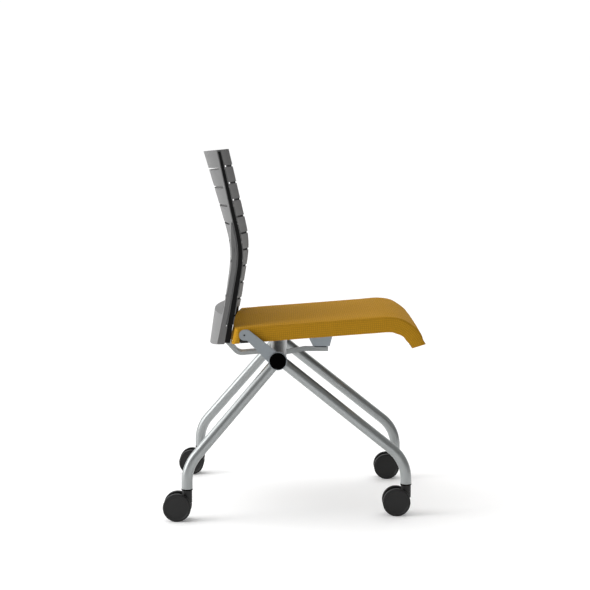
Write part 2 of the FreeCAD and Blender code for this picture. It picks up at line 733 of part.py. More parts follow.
def bar_seat_block():
    """Solid seat inside the shroud that the back bar is screwed to."""
    low, high = BAR_SCREW_UP - BAR_SCREW_HEAD_D, SHROUD_TOP_UP - SHROUD_WALL - 1
    half_bar = BACK_BAR_T / 2 / math.cos(math.atan2(BACK_BAR_TOP_AHEAD - BACK_BAR_KNEE_AHEAD,
                                                   BACK_BAR_TOP_UP - BACK_BAR_KNEE_UP))
    outline = []
    for up in (low, high):
        outline.append((back_bar_ahead(up) - half_bar - WELD_GAP, up))
    for up in (high, low):
        shift = (SHROUD_TOP_UP - up) * math.tan(math.radians(SHROUD_LEAN))
        outline.append((SHROUD_MID_REAR - shift + SHROUD_WALL / 2, up))
    return sharp_plate(outline, -BACK_BAR_W / 2, BACK_BAR_W / 2)


def back_carrier():
    carrier = shroud().fuse(bar_seat_block())
    for side in SIDES.values():
        carrier = carrier.fuse(carrier_arm(side))
    carrier = carrier.removeSplitter()
    depth = BACK_BAR_T / 2 + BAR_SCREW_GRIP + WELD_GAP
    hole_r = BAR_SCREW_D / 2 + WELD_GAP
    for across in BAR_SCREW_ACROSSES:
        carrier = carrier.cut(bar_screw_rod(BAR_SCREW_UP, across, hole_r, 0, depth))
    for side in SIDES.values():
        for up in RAIL_SCREW_UPS:
            carrier = carrier.cut(rail_screw(up, side, WELD_GAP))
        for up in ARM_SCREW_UPS:
            carrier = carrier.cut(arm_screw(up, side, WELD_GAP))
        outer = BACK_HALF_W - 1
        low, high = span(outer - ARM_MARK_DEPTH, outer + 1, side)
        middle = (arm_front(ARM_MARK_UP) + arm_rear(ARM_MARK_UP)) / 2
        carrier = carrier.cut(block(middle - ARM_MARK_WIDE / 2, middle + ARM_MARK_WIDE / 2,
                                    low, high, ARM_MARK_UP - ARM_MARK_HIGH / 2,
                                    ARM_MARK_UP + ARM_MARK_HIGH / 2))
    return carrier


# Seat

def seat_point(back, depth):
    """A point of the seat's straight part: back from the bend, and below the top face."""
    slope = math.radians(SEAT_SLOPE)
    radius = SEAT_BEND_R - depth
    ahead = SEAT_BEND_AHEAD - radius * math.sin(slope) - back * math.cos(slope)
    up = SEAT_BEND_UP + radius * math.cos(slope) - back * math.sin(slope)
    return ahead, up


def bend_point(angle, depth):
    """A point of the seat's front bend, at an angle above the horizontal."""
    radius = SEAT_BEND_R - depth
    turn = math.radians(angle)
    return SEAT_BEND_AHEAD + radius * math.cos(turn), SEAT_BEND_UP + radius * math.sin(turn)


def pad_section(top, bottom, half, crown):
    """Cross-section of the pad: flat below, full sides, rounded upper edges and a crown."""
    base = place(bottom[0], 0, bottom[1])
    rise = place(top[0], 0, top[1]) - base
    height = rise.Length
    rise = rise.normalize()

    def spot(across, high):
        return base + rise * high + ACROSS_AXIS * across

    edge = PAD_EDGE_R
    upper = half - PAD_SIDE_BULGE / 2
    lower = half - PAD_SIDE_BULGE
    soften = edge * (1 - math.cos(math.radians(45)))
    edges = [Part.LineSegment(spot(-lower, 0), spot(lower, 0)).toShape()]
    edges.append(Part.Arc(spot(lower, 0), spot(half, height * 0.5),
                          spot(upper, height - edge)).toShape())
    edges.append(Part.Arc(spot(upper, height - edge), spot(upper - soften, height - soften),
                          spot(upper - edge, height)).toShape())
    edges.append(Part.Arc(spot(upper - edge, height), spot(0, height + crown),
                          spot(edge - upper, height)).toShape())
    edges.append(Part.Arc(spot(edge - upper, height), spot(soften - upper, height - soften),
                          spot(-upper, height - edge)).toShape())
    edges.append(Part.Arc(spot(-upper, height - edge), spot(-half, height * 0.5),
                          spot(-lower, 0)).toShape())
    return Part.Wire(edges)


def pad_plan():
    """The pad's plan outline, bowed and round-cornered at the rear, run down along its lean."""
    half = SEAT_HALF_W + 1
    over = PAD_T * 3
    under = PAD_T * 2
    above = seat_point(SEAT_STRAIGHT, -over)
    below = seat_point(SEAT_STRAIGHT, PAD_T + under)
    lean = SEAT_REAR_LEAN / PAD_T
    fore = SEAT_FRONT_AHEAD + PAD_T
    rear_right = place(above[0] + lean * over, -half, above[1])
    rear_left = place(above[0] + lean * over, half, above[1])
    bow = heading(-SEAT_REAR_BOW, 0, 0)
    middle = (rear_right + rear_left) * 0.5 + bow
    outline = Part.Wire([
        Part.LineSegment(rear_right, place(fore, -half, above[1])).toShape(),
        Part.LineSegment(place(fore, -half, above[1]), place(fore, half, above[1])).toShape(),
        Part.LineSegment(place(fore, half, above[1]), rear_left).toShape(),
        Part.Arc(rear_left, middle, rear_right).toShape()])
    run = lean * (over + PAD_T + under)
    down = heading(below[0] - above[0] - run, 0, below[1] - above[1])
    plan = Part.Face(outline).extrude(down)
    corners = [edge for edge in plan.Edges
               if abs(abs(edge.CenterOfMass.x) - half) < 1e-3
               and edge.CenterOfMass.y > place(0, 0, 0).y
               and abs(edge.tangentAt(edge.FirstParameter).x) < 1e-6
               and abs(edge.Vertexes[0].Z - edge.Vertexes[-1].Z) > PAD_T]
    return plan.makeFillet(PAD_CORNER_R, corners)


def pad_blank():
    """The whole upholstered pad, before the pan's recess and the hinge notches."""
    bend_start = 90 + SEAT_SLOPE
    bend_length = SEAT_BEND_R * math.radians(bend_start - SEAT_END_ANGLE)
    straight = SEAT_STRAIGHT + SEAT_REAR_BOW + 4
    straight_count = round(straight / PAD_SECTION_PITCH)
    bend_count = round(bend_length / PAD_SECTION_PITCH)
    sections = []
    for index in range(straight_count + 1):
        share = index / straight_count
        back = straight * (1 - share)
        half = SEAT_HALF_W - PAD_SIDE_DRAW * math.sin(math.pi * share) ** 2
        lean = SEAT_REAR_LEAN if index == 0 else 0
        crown = PAD_CROWN * (0.4 + 0.6 * math.sin(math.pi * share) ** 2)
        sections.append(pad_section(seat_point(back, 0), seat_point(back + lean, PAD_T),
                                    half, crown))
    for index in range(1, bend_count + 1):
        share = index / bend_count
        angle = bend_start + (SEAT_END_ANGLE - bend_start) * share
        crown = PAD_CROWN * 0.4 * (1 - share) + 0.05
        sections.append(pad_section(bend_point(angle, 0), bend_point(angle, PAD_T),
                                    SEAT_HALF_W, crown))
    return loft(sections)


def band_plate(depth_top, depth_bottom, rear_back, end_angle, half):
    """A sheet that follows the seat between two depths, cut square across."""
    slope_turn = 90 + SEAT_SLOPE
    middle_turn = (slope_turn + end_angle) / 2

    def lift(point):
        return place(point[0], -half, point[1])

    edges = [
        Part.LineSegment(lift(seat_point(rear_back, depth_top)),
                         lift(seat_point(0, depth_top))).toShape(),
        Part.Arc(lift(seat_point(0, depth_top)), lift(bend_point(middle_turn, depth_top)),
                 lift(bend_point(end_angle, depth_top))).toShape(),
        Part.LineSegment(lift(bend_point(end_angle, depth_top)),
                         lift(bend_point(end_angle, depth_bottom))).toShape(),
        Part.Arc(lift(bend_point(end_angle, depth_bottom)),
                 lift(bend_point(middle_turn, depth_bottom)),
                 lift(seat_point(0, depth_bottom))).toShape(),
        Part.LineSegment(lift(seat_point(0, depth_bottom)),
                         lift(seat_point(rear_back, depth_bottom))).toShape(),
        Part.LineSegment(lift(seat_point(rear_back, depth_bottom)),
                         lift(seat_point(rear_back, depth_top))).toShape()]
    return Part.Face(Part.Wire(edges)).extrude(ACROSS_AXIS * (2 * half))


def ear_shape(radius, low, high):
    """Round end about the pivot on a post that drops to the pan."""
    below = SEAT_BEND_UP + SEAT_BEND_R - PAD_T
    post = block(PIVOT_AHEAD - radius, PIVOT_AHEAD + radius, low, high, below - 60, PIVOT_UP)
    return across_rod(PIVOT_AHEAD, PIVOT_UP, radius, low, high).fuse(post)


def seat_pan():
    half = SEAT_HALF_W - PAN_INSET
    end_turn = math.degrees(PAN_END_INSET / (SEAT_BEND_R - PAD_T))
    rear = SEAT_STRAIGHT - PAN_END_INSET
    pan = band_plate(PAD_T - PAN_T, PAD_T - PAN_RECESS, rear, SEAT_END_ANGLE + end_turn, half)
    under = band_plate(PAN_EAR_ROOM, PAD_T - PAN_RECESS, rear, SEAT_END_ANGLE + end_turn,
                       SEAT_HALF_W)
    for side in SIDES.values():
        low, high = span(SEAT_HALF_W - EAR_INSET - EAR_W, SEAT_HALF_W - EAR_INSET, side)
        pan = pan.fuse(ear_shape(EAR_R, low, high).common(under))
    pan = pan.removeSplitter()
    for side in SIDES.values():
        low, high = span(SEAT_HALF_W - NOTCH_DEPTH, SEAT_HALF_W, side)
        bore = PIVOT_PIN_D / 2 + SHAFT_CLEARANCE + BUSH_WALL + WELD_GAP
        pan = pan.cut(across_rod(PIVOT_AHEAD, PIVOT_UP, bore, low, high))
    return pan.cut(pan_screw_group(SEAT_CLEARANCE / 2))


def seat_cushion():
    half = SEAT_HALF_W - PAN_INSET + SEAT_CLEARANCE
    end_inset = PAN_END_INSET - SEAT_CLEARANCE
    end_turn = math.degrees(end_inset / (SEAT_BEND_R - PAD_T))
    recess = band_plate(PAD_T - PAN_T - SEAT_CLEARANCE, PAD_T + 5, SEAT_STRAIGHT - end_inset,
                        SEAT_END_ANGLE + end_turn, half)
    cushion = pad_blank().common(pad_plan())
    cushion = cushion.cut(recess)
    for side in SIDES.values():
        low, high = span(SEAT_HALF_W - NOTCH_DEPTH, SEAT_HALF_W + 5, side)
        cushion = cushion.cut(ear_shape(EAR_R + NOTCH_MARGIN, low, high))
    return cushion.cut(pan_screw_group(SEAT_CLEARANCE))


def pivot_bush(side):
    """Flanged plastic bush in the pan's ear that turns on the pin."""
    bore = PIVOT_PIN_D / 2 + SHAFT_CLEARANCE
    ear_face = SEAT_HALF_W - EAR_INSET
    low, high = span(ear_face - EAR_W, ear_face + WELD_GAP, side)
    barrel = across_rod(PIVOT_AHEAD, PIVOT_UP, bore + BUSH_WALL, low, high)
    flange_low, flange_high = span(ear_face + WELD_GAP, BRACKET_ACROSS - SEAT_CLEARANCE, side)
    flange = across_rod(PIVOT_AHEAD, PIVOT_UP, BUSH_FLANGE_D / 2, flange_low, flange_high)
    hole_low, hole_high = span(ear_face - EAR_W - 1, BRACKET_ACROSS, side)
    return barrel.fuse(flange).cut(across_rod(PIVOT_AHEAD, PIVOT_UP, bore, hole_low, hole_high))


def pan_screw_group(extra=0.0):
    """Screws up through the pan into the pad's core, square to the seat."""
    slope = math.radians(SEAT_SLOPE)
    inward = heading(-math.sin(slope), 0, math.cos(slope))
    screws = []
    for back in PAN_SCREW_BACKS:
        for across in (-PAN_SCREW_ACROSS, PAN_SCREW_ACROSS):
            ahead, up = seat_point(back, PAD_T - PAN_RECESS)
            start = place(ahead, across, up)
            head = Part.makeCylinder(PAN_SCREW_HEAD_D / 2 + extra, PAN_SCREW_HEAD + extra,
                                     start, inward)
            shank = Part.makeCylinder(PAN_SCREW_D / 2 + extra, PAN_SCREW_GRIP + extra,
                                      start, inward)
            screws.append(head.fuse(shank))
    return Part.makeCompound(screws)


def pan_underside_up(ahead):
    """Height of the pan's underside on the straight part."""
    near = seat_point(0, PAD_T - PAN_RECESS)
    return near[1] - (near[0] - ahead) * math.tan(math.radians(SEAT_SLOPE))


def seat_stop():
    """Tapered block under the pan that carries the seat's front on the rest bar."""
    foot = REST_BAR_TOP_UP + STOP_REST_GAP + STOP_PAD_T
    outline = [(STOP_FOOT_REAR, foot), (STOP_FOOT_FRONT, foot),
               (STOP_TOP_FRONT, pan_underside_up(STOP_TOP_FRONT) - WELD_GAP),
               (STOP_TOP_REAR, pan_underside_up(STOP_TOP_REAR) - WELD_GAP)]
    radii = [STOP_ROUND, STOP_ROUND, 0, 0]
    return side_plate(outline, radii, -STOP_HALF_W, STOP_HALF_W)


def stop_pad():
    """Rubber pad on the foot of the seat stop."""
    inset = STOP_ROUND + 0.5
    low = REST_BAR_TOP_UP + STOP_REST_GAP
    pad_front = min(STOP_FOOT_FRONT, REST_BAR_END) - inset
    return block(STOP_FOOT_REAR + inset, pad_front, -STOP_PAD_W / 2, STOP_PAD_W / 2,
                 low, low + STOP_PAD_T)


# Casters

def caster_socket(ahead, across):
    """Plastic socket in the leg's foot that holds the caster's stem."""
    flange_low = LEG_FOOT_UP - SOCKET_FLANGE
    sleeve = upright_rod(ahead, across, LEG_D / 2 - LEG_WALL - WELD_GAP, LEG_FOOT_UP,
                         LEG_FOOT_UP + SOCKET_LENGTH)
    flange = upright_rod(ahead, across, SOCKET_FLANGE_D / 2, flange_low, LEG_FOOT_UP)
    bore = upright_rod(ahead, across, STEM_D / 2 + SHAFT_CLEARANCE, flange_low - 1,
                       LEG_FOOT_UP + SOCKET_LENGTH + 1)
    return sleeve.fuse(flange).cut(bore)


def caster_neck_top():
    return LEG_FOOT_UP - SOCKET_FLANGE - SEAT_CLEARANCE


def caster_stem(ahead, across):
    """Steel stem, seated in the caster's neck, that turns in the leg's socket."""
    stem = upright_rod(ahead, across, STEM_D / 2, caster_neck_top() - STEM_SEAT, STEM_TOP_UP)
    top = [edge for edge in stem.Edges if edge.Closed
           and abs(edge.CenterOfMass.z - STEM_TOP_UP) < 1e-3]
    return stem.makeChamfer(1.0, top)


def caster_body(ahead, across):
    """Neck under the leg and the core that carries the axle between the two wheels."""
    axle_ahead = ahead - CASTER_TRAIL
    half = CASTER_BODY_W / 2
    low, high = across - half, across + half
    neck = upright_rod(ahead, across, CASTER_NECK_D / 2, CASTER_NECK_LOW, caster_neck_top())
    foot = [edge for edge in neck.Edges if edge.Closed
            and abs(edge.CenterOfMass.z - CASTER_NECK_LOW) < 1e-3]
    neck = neck.makeChamfer(CASTER_NECK_CHAMFER, foot)
    core = across_rod(axle_ahead, WHEEL_R, CASTER_CORE_D / 2, low, high)
    web = sharp_plate([(axle_ahead, WHEEL_R), (ahead, CASTER_NECK_LOW + CASTER_NECK_CHAMFER),
                       (ahead, WHEEL_D), (axle_ahead + 2, WHEEL_R + CASTER_CORE_D / 2)],
                      low + 2, high - 2)
    body = neck.fuse(core).fuse(web).removeSplitter()
    body = body.cut(upright_rod(ahead, across, STEM_D / 2 + WELD_GAP,
                                caster_neck_top() - STEM_SEAT - WELD_GAP, STEM_TOP_UP))
    return body.cut(across_rod(axle_ahead, WHEEL_R, AXLE_D / 2 + WELD_GAP, low - 1, high + 1))


def wheel_inner_face():
    return CASTER_BODY_W / 2 + WHEEL_SIDE_GAP


def caster_axle(ahead, across):
    reach = wheel_inner_face() + WHEEL_W - AXLE_COVER - SEAT_CLEARANCE
    return across_rod(ahead - CASTER_TRAIL, WHEEL_R, AXLE_D / 2, across - reach, across + reach)


def caster_wheel(ahead, across, side):
    """One wheel, turned about the axle: dished outside, hollow towards the body."""
    inner = wheel_inner_face()
    outer = inner + WHEEL_W
    bore = AXLE_D / 2 + SHAFT_CLEARANCE
    bore_end = outer - AXLE_COVER
    hollow = inner + WHEEL_HOLLOW_DEPTH
    rim_inner = WHEEL_R - WHEEL_RIM
    dish_r = rim_inner - 1
    dish = outer - WHEEL_DISH_DEPTH
    edge = WHEEL_EDGE_ROUND
    half_edge = edge * (1 - math.cos(math.radians(45)))
    # Each point is a distance out from the caster's middle and a radius from the axle
    corners = [(dish, 0), (bore_end, 0), (bore_end, bore), (inner, bore),
               (inner, WHEEL_HUB_D / 2), (hollow, WHEEL_HUB_D / 2), (hollow, rim_inner),
               (inner, rim_inner), (inner, WHEEL_R - 1), (inner + 1, WHEEL_R),
               (outer - edge, WHEEL_R), (outer, WHEEL_R - edge), (outer, dish_r + 1), (dish, dish_r)]
    middle_ahead = ahead - CASTER_TRAIL

    def spot(out, radius):
        return place(middle_ahead, across + side * out, WHEEL_R + radius)

    edges = []
    for index, corner in enumerate(corners):
        following = corners[(index + 1) % len(corners)]
        if corner == (outer - edge, WHEEL_R):
            middle = spot(outer - half_edge, WHEEL_R - half_edge)
            edges.append(Part.Arc(spot(*corner), middle, spot(*following)).toShape())
        else:
            edges.append(Part.LineSegment(spot(*corner), spot(*following)).toShape())
    face = Part.Face(Part.Wire(edges))
    return face.revolve(place(middle_ahead, 0, WHEEL_R), ACROSS_AXIS, 360)


# The ear reaches above the pan, up to this far below the seat's top face
PAN_EAR_ROOM = PAD_T - PAN_T - (PIVOT_UP + EAR_R - pan_underside_up(PIVOT_AHEAD)) + PAN_RECESS
PAN_EAR_ROOM = max(2.0, min(PAN_EAR_ROOM, PAD_T - PAN_T))

# Each pair of legs: where its top sits on the cross tube, its foot, and its bend's corner
REAR_PAIR = (REAR_TOP_ACROSS, REAR_FOOT_AHEAD, REAR_FOOT_ACROSS, REAR_CORNER_UP)
FRONT_PAIR = (FRONT_TOP_ACROSS, FRONT_FOOT_AHEAD, FRONT_FOOT_ACROSS, FRONT_CORNER_UP)
PAIRS = {"rear": REAR_PAIR, "front": FRONT_PAIR}


def build():
    save("cross_tube", cross_tube())
    for name, side in SIDES.items():
        save("end_cap_" + name, end_cap(side))
        save("seat_bracket_" + name, bracket(side))
        save("pivot_pin_" + name, pivot_pin(side))
        save("pivot_bush_" + name, pivot_bush(side))
        save("back_rail_" + name, edge_rail(side))
    save("seat_rest_bar", rest_bar())
    save("back_support_bar", back_bar())
    save("back_bar_screws", bar_screws())
    save("back_shell", back_shell())
    save("back_carrier", back_carrier())
    save("back_rail_screws", Part.makeCompound(
        [rail_screw(up, side) for side in SIDES.values() for up in RAIL_SCREW_UPS]))
    save("back_arm_screws", Part.makeCompound(
        [arm_screw(up, side) for side in SIDES.values() for up in ARM_SCREW_UPS]))
    save("seat_pan", seat_pan())
    save("seat_cushion", seat_cushion())
    save("seat_pan_screws", pan_screw_group())
    save("seat_stop", seat_stop())
    save("seat_stop_pad", stop_pad())
    for end, pair in PAIRS.items():
        for name, side in SIDES.items():
            corner = end + "_" + name
            ahead = pair[1]
            across = side * pair[2]
            save("leg_" + corner, leg(*pair, side))
            save("caster_socket_" + corner, caster_socket(ahead, across))
            save("caster_stem_" + corner, caster_stem(ahead, across))
            save("caster_body_" + corner, caster_body(ahead, across))
            save("caster_axle_" + corner, caster_axle(ahead, across))
            save("wheel_outer_" + corner, caster_wheel(ahead, across, side))
            save("wheel_inner_" + corner, caster_wheel(ahead, across, -side))


build()
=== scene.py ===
import math

import bmesh
import bpy
import numpy as np
from bpy.props import FloatProperty, FloatVectorProperty, IntProperty, PointerProperty
from mathutils import Euler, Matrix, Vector


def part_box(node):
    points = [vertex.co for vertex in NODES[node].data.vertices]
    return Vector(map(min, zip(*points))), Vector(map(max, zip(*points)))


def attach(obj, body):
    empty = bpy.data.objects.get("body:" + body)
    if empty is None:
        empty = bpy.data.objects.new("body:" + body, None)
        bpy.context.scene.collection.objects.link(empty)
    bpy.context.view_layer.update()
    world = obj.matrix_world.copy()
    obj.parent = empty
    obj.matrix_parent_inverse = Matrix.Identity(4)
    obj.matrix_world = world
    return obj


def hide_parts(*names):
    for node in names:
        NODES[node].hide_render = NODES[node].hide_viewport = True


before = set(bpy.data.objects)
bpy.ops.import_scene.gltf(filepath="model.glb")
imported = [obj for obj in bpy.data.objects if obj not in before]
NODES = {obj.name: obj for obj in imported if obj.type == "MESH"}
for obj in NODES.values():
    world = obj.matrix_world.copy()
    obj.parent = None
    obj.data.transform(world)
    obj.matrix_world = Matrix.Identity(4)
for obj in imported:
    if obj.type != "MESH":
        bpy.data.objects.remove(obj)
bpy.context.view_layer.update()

bl_info = {
    "name": "Nesting chair finish",
    "version": (1, 0, 0),
    "blender": (4, 5, 0),
    "location": "View3D > Sidebar > Chair",
    "description": "Dresses a nesting chair's frame with its seat pad, screws, welds and finishes",
    "category": "Object",
}

SIDES = ("right", "left")
CORNERS = ("rear_right", "rear_left", "front_right", "front_left")


# Small helpers

def middle(node):
    """Middle of a CAD node's box."""
    low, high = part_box(node)
    return (low + high) / 2


def link(obj):
    bpy.context.scene.collection.objects.link(obj)
    return obj


def mesh_object(name, vertices, faces):
    mesh = bpy.data.meshes.new(name)
    mesh.from_pydata(vertices, [], faces)
    mesh.validate()
    return link(bpy.data.objects.new(name, mesh))


def merged_copy(node, name):
    """A copy of a CAD node with its loose triangles joined up."""
    mesh = NODES[node].data.copy()
    mesh.materials.clear()
    shape = bmesh.new()
    shape.from_mesh(mesh)
    bmesh.ops.remove_doubles(shape, verts=shape.verts, dist=2e-6)
    shape.to_mesh(mesh)
    shape.free()
    mesh.name = name
    if mesh.has_custom_normals:
        mesh.attributes.remove(mesh.attributes["custom_normal"])
    return link(bpy.data.objects.new(name, mesh))


def bake_modifiers(obj):
    """Turn an object with modifiers into a plain mesh."""
    bpy.context.view_layer.update()
    graph = bpy.context.evaluated_depsgraph_get()
    mesh = bpy.data.meshes.new_from_object(obj.evaluated_get(graph))
    obj.modifiers.clear()
    old = obj.data
    obj.data = mesh
    if old.users == 0:
        bpy.data.meshes.remove(old)
    return obj


def shade_smooth(mesh, angle):
    """Smooth shading, with edges sharper than the angle kept crisp."""
    mesh.polygons.foreach_set("use_smooth", [True] * len(mesh.polygons))
    mesh.set_sharp_from_angle(angle=angle)


# Node trees

class Wire:
    """A value in a node tree; Python's operators on it add its Math nodes."""

    def __init__(self, tree, socket):
        self.tree = tree
        self.socket = socket

    def apply(self, operation, *values, clamp=False):
        node = self.tree.nodes.new("ShaderNodeMath")
        node.operation = operation
        node.use_clamp = clamp
        for slot, value in zip(node.inputs, values):
            feed(self.tree, slot, value)
        return Wire(self.tree, node.outputs[0])

    def __add__(self, other):
        return self.apply("ADD", self, other)

    def __radd__(self, other):
        return self.apply("ADD", other, self)

    def __sub__(self, other):
        return self.apply("SUBTRACT", self, other)

    def __rsub__(self, other):
        return self.apply("SUBTRACT", other, self)

    def __mul__(self, other):
        return self.apply("MULTIPLY", self, other)

    def __rmul__(self, other):
        return self.apply("MULTIPLY", other, self)

    def __truediv__(self, other):
        return self.apply("DIVIDE", self, other)

    def __mod__(self, other):
        return self.apply("FLOORED_MODULO", self, other)

    def __lt__(self, other):
        return self.apply("LESS_THAN", self, other)

    def __abs__(self):
        return self.apply("ABSOLUTE", self)

    def floor(self):
        return self.apply("FLOOR", self)

    def fraction(self):
        return self.apply("FRACT", self)

    def sine(self):
        return self.apply("SINE", self)

    def root(self):
        return self.apply("SQRT", self)

    def clamped(self):
        return self.apply("ADD", self, 0.0, clamp=True)

    def smaller(self, other):
        return self.apply("MINIMUM", self, other)

    def larger(self, other):
        return self.apply("MAXIMUM", self, other)


def feed(tree, slot, value):
    """Link a socket to a wire, or set its own value."""
    if isinstance(value, Wire):
        tree.links.new(value.socket, slot)
    else:
        slot.default_value = value


class Graph:
    """A node tree under construction, kept as self.tree."""

    def node(self, kind, settings=None, inputs=None, output=0):
        """Add any node: its settings first, then its sockets; gives the wire that leaves it."""
        node = self.tree.nodes.new(kind)
        for name, value in (settings or {}).items():
            setattr(node, name, value)
        for name, value in (inputs or {}).items():
            feed(self.tree, node.inputs[name], value)
        return Wire(self.tree, node.outputs[output])


class Finish(Graph):
    """A material under construction, on object coordinates in metres."""

    def __init__(self, name, **fixed):
        self.material = bpy.data.materials.new(name)
        self.material.use_nodes = True
        self.tree = self.material.node_tree
        self.tree.nodes.clear()
        self.shader = self.tree.nodes.new("ShaderNodeBsdfPrincipled")
        output = self.tree.nodes.new("ShaderNodeOutputMaterial")
        self.tree.links.new(self.shader.outputs[0], output.inputs["Surface"])
        for socket, value in fixed.items():
            self.shader.inputs[socket.replace("_", " ")].default_value = value
        self.place = self.node("ShaderNodeTexCoord", output="Object")

    def surface(self, **inputs):
        """Feed the shader's own sockets."""
        for name, value in inputs.items():
            feed(self.tree, self.shader.inputs[name.replace("_", " ")], value)
        return self.material

    def axes(self, vector=None):
        """The three parts of a vector."""
        node = self.tree.nodes.new("ShaderNodeSeparateXYZ")
        feed(self.tree, node.inputs[0], vector or self.place)
        return [Wire(self.tree, socket) for socket in node.outputs]

    def noise(self, scale, detail=2.0, roughness=0.5, stretch=None, distortion=0.0):
        """Noise from 0 to 1, with its features about 1/scale metres across."""
        vector = self.place
        if stretch:
            vector = self.node("ShaderNodeMapping", inputs={"Vector": vector, "Scale": stretch})
        return self.node("ShaderNodeTexNoise", {"noise_dimensions": "3D"},
                         {"Vector": vector, "Scale": scale, "Detail": detail,
                          "Roughness": roughness, "Distortion": distortion}, "Fac")

    def cells(self, scale):
        """Distance to the nearest of many scattered points."""
        return self.node("ShaderNodeTexVoronoi", {"feature": "F1"},
                         {"Vector": self.place, "Scale": scale}, "Distance")

    def ramp(self, value, low, high):
        """0 below low, 1 above high, and smooth between."""
        return self.node("ShaderNodeMapRange", {"interpolation_type": "SMOOTHSTEP"},
                         {"Value": value, "From Min": low, "From Max": high})

    def mix(self, share, first, second):
        """Between two colours."""
        node = self.tree.nodes.new("ShaderNodeMix")
        node.data_type = "RGBA"
        feed(self.tree, node.inputs[0], share)
        feed(self.tree, node.inputs[6], colour(first))
        feed(self.tree, node.inputs[7], colour(second))
        return Wire(self.tree, node.outputs[2])

    def bump(self, height, strength, distance):
        return self.node("ShaderNodeBump", None,
                         {"Height": height, "Strength": strength, "Distance": distance}, "Normal")


def colour(value):
    """A colour of three parts gets its alpha."""
    if isinstance(value, Wire):
        return value
    return (*value, 1.0) if len(value) == 3 else tuple(value)


def tone(base, factor):
    """A colour made lighter or darker."""
    return tuple(min(1.0, part * factor) for part in base[:3])


# Geometry trees

class Recipe(Graph):
    """A geometry tree under construction, with named inputs for its sizes."""

    def __init__(self, name, inputs):
        self.tree = bpy.data.node_groups.new(name, "GeometryNodeTree")
        sockets = self.tree.interface
        sockets.new_socket("Geometry", in_out="OUTPUT", socket_type="NodeSocketGeometry")
        sockets.new_socket("Geometry", in_out="INPUT", socket_type="NodeSocketGeometry")
        self.keys = {label: sockets.new_socket(label, in_out="INPUT", socket_type=kind).identifier
                     for label, kind in inputs.items()}
        self.source = self.tree.nodes.new("NodeGroupInput")

    def given(self, label):
        """The wire of a named input."""
        return Wire(self.tree, self.source.outputs[label])

    def close(self, geometry, material):
        """End the tree with real geometry that wears one material."""
        real = self.node("GeometryNodeRealizeInstances", None, {"Geometry": geometry})
        worn = self.node("GeometryNodeSetMaterial", None,
                         {"Geometry": real, "Material": material})
        output = self.tree.nodes.new("NodeGroupOutput")
        self.tree.links.new(worn.socket, output.inputs[0])

    def make(self, obj, values):
        """Run the tree on an object and keep its result as a plain mesh."""
        step = obj.modifiers.new(self.tree.name, "NODES")
        step.node_group = self.tree
        for label, value in values.items():
            step[self.keys[label]] = value
        return bake_modifiers(obj)


def weld_recipe(material):
    """A rippled bead along each loop of edges."""
    recipe = Recipe("weld_bead", {"Bead radius": "NodeSocketFloat",
                                  "Ripple length": "NodeSocketFloat"})
    curve = recipe.node("GeometryNodeMeshToCurve", None, {"Mesh": recipe.given("Geometry")})
    ripple = recipe.given("Ripple length")
    fine = recipe.node("GeometryNodeResampleCurve", {"mode": "LENGTH"},
                       {"Curve": curve, "Length": ripple / 3.0})
    along = recipe.node("GeometryNodeSplineParameter", output="Length")
    swell = 0.86 + 0.22 * abs((along * math.pi / ripple).sine())
    bead = recipe.node("GeometryNodeSetCurveRadius", None, {"Curve": fine, "Radius": swell})
    ring = recipe.node("GeometryNodeCurvePrimitiveCircle", None,
                       {"Resolution": 8, "Radius": recipe.given("Bead radius")})
    sweep = {"Curve": bead, "Profile Curve": ring, "Fill Caps": True,
             "Scale": recipe.node("GeometryNodeInputRadius")}
    tube = recipe.node("GeometryNodeCurveToMesh", None, sweep)
    smooth = recipe.node("GeometryNodeSetShadeSmooth", None, {"Geometry": tube})
    recipe.close(smooth, material)
    return recipe


def screw_recipe(material):
    """One screw on each point, turned by the point's own attribute."""
    recipe = Recipe("screws", {"Screw": "NodeSocketObject", "Size": "NodeSocketFloat"})
    shape = recipe.node("GeometryNodeObjectInfo", None, {"Object": recipe.given("Screw")},
                        "Geometry")
    turn = recipe.node("GeometryNodeInputNamedAttribute", {"data_type": "FLOAT_VECTOR"},
                       {"Name": "turn"})
    placed = recipe.node("GeometryNodeInstanceOnPoints", None,
                         {"Points": recipe.given("Geometry"), "Instance": shape,
                          "Rotation": turn, "Scale": recipe.given("Size")})
    recipe.close(placed, material)
    return recipe


# Finishes

def powder_coat(name, base, gloss=0.31):
    """Fine silver powder coat: flakes, faint orange peel and slight handling dulling."""
    finish = Finish(name, Metallic=0.66, IOR=1.5)
    flakes = finish.cells(2600.0)
    cloud = finish.noise(7.0, 3.0)
    peel = finish.noise(700.0, 2.0)
    rub = finish.ramp(finish.noise(38.0, 4.0, 0.6), 0.52, 0.72)
    sparkle = (0.75 * flakes + 0.5 * cloud).clamped()
    base_mix = finish.mix(sparkle, tone(base, 0.9), tone(base, 1.12))
    height = 0.6 * peel + 0.4 * flakes
    return finish.surface(Base_Color=base_mix, Roughness=gloss + 0.05 * cloud + 0.07 * rub,
                          Normal=finish.bump(height, 0.10, 0.0002))


# Depths under the pin's face between which its finish turns to painted shade
SOCKET_SHADE_DEPTHS = (0.0004, 0.0009)


def pin_finish(name, base, outer):
    """Coated pin head, and painted shade, near-black, wherever it lies deeper than the head's
    face.
    """
    finish = Finish(name, Metallic=0.6)
    across, depth, height = finish.axes()
    inward = outer - abs(across)
    painted_socket_shade = finish.ramp(inward, *SOCKET_SHADE_DEPTHS)
    flakes = finish.cells(2600.0)
    coat = finish.mix(flakes, tone(base, 0.85), tone(base, 1.1))
    # Deeper than the head's face the pin is painted near-black: painted shade inside its socket,
    # which is also rougher
    return finish.surface(Base_Color=finish.mix(painted_socket_shade, coat, (0.004, 0.004, 0.004)),
                          Roughness=0.36 + 0.2 * painted_socket_shade,
                          Normal=finish.bump(flakes, 0.1, 0.0002))


# Upward part of the normal over which a face counts as a slot's wall, which takes painted shade
SLOT_SHADE_FACING = (0.6, 0.8)


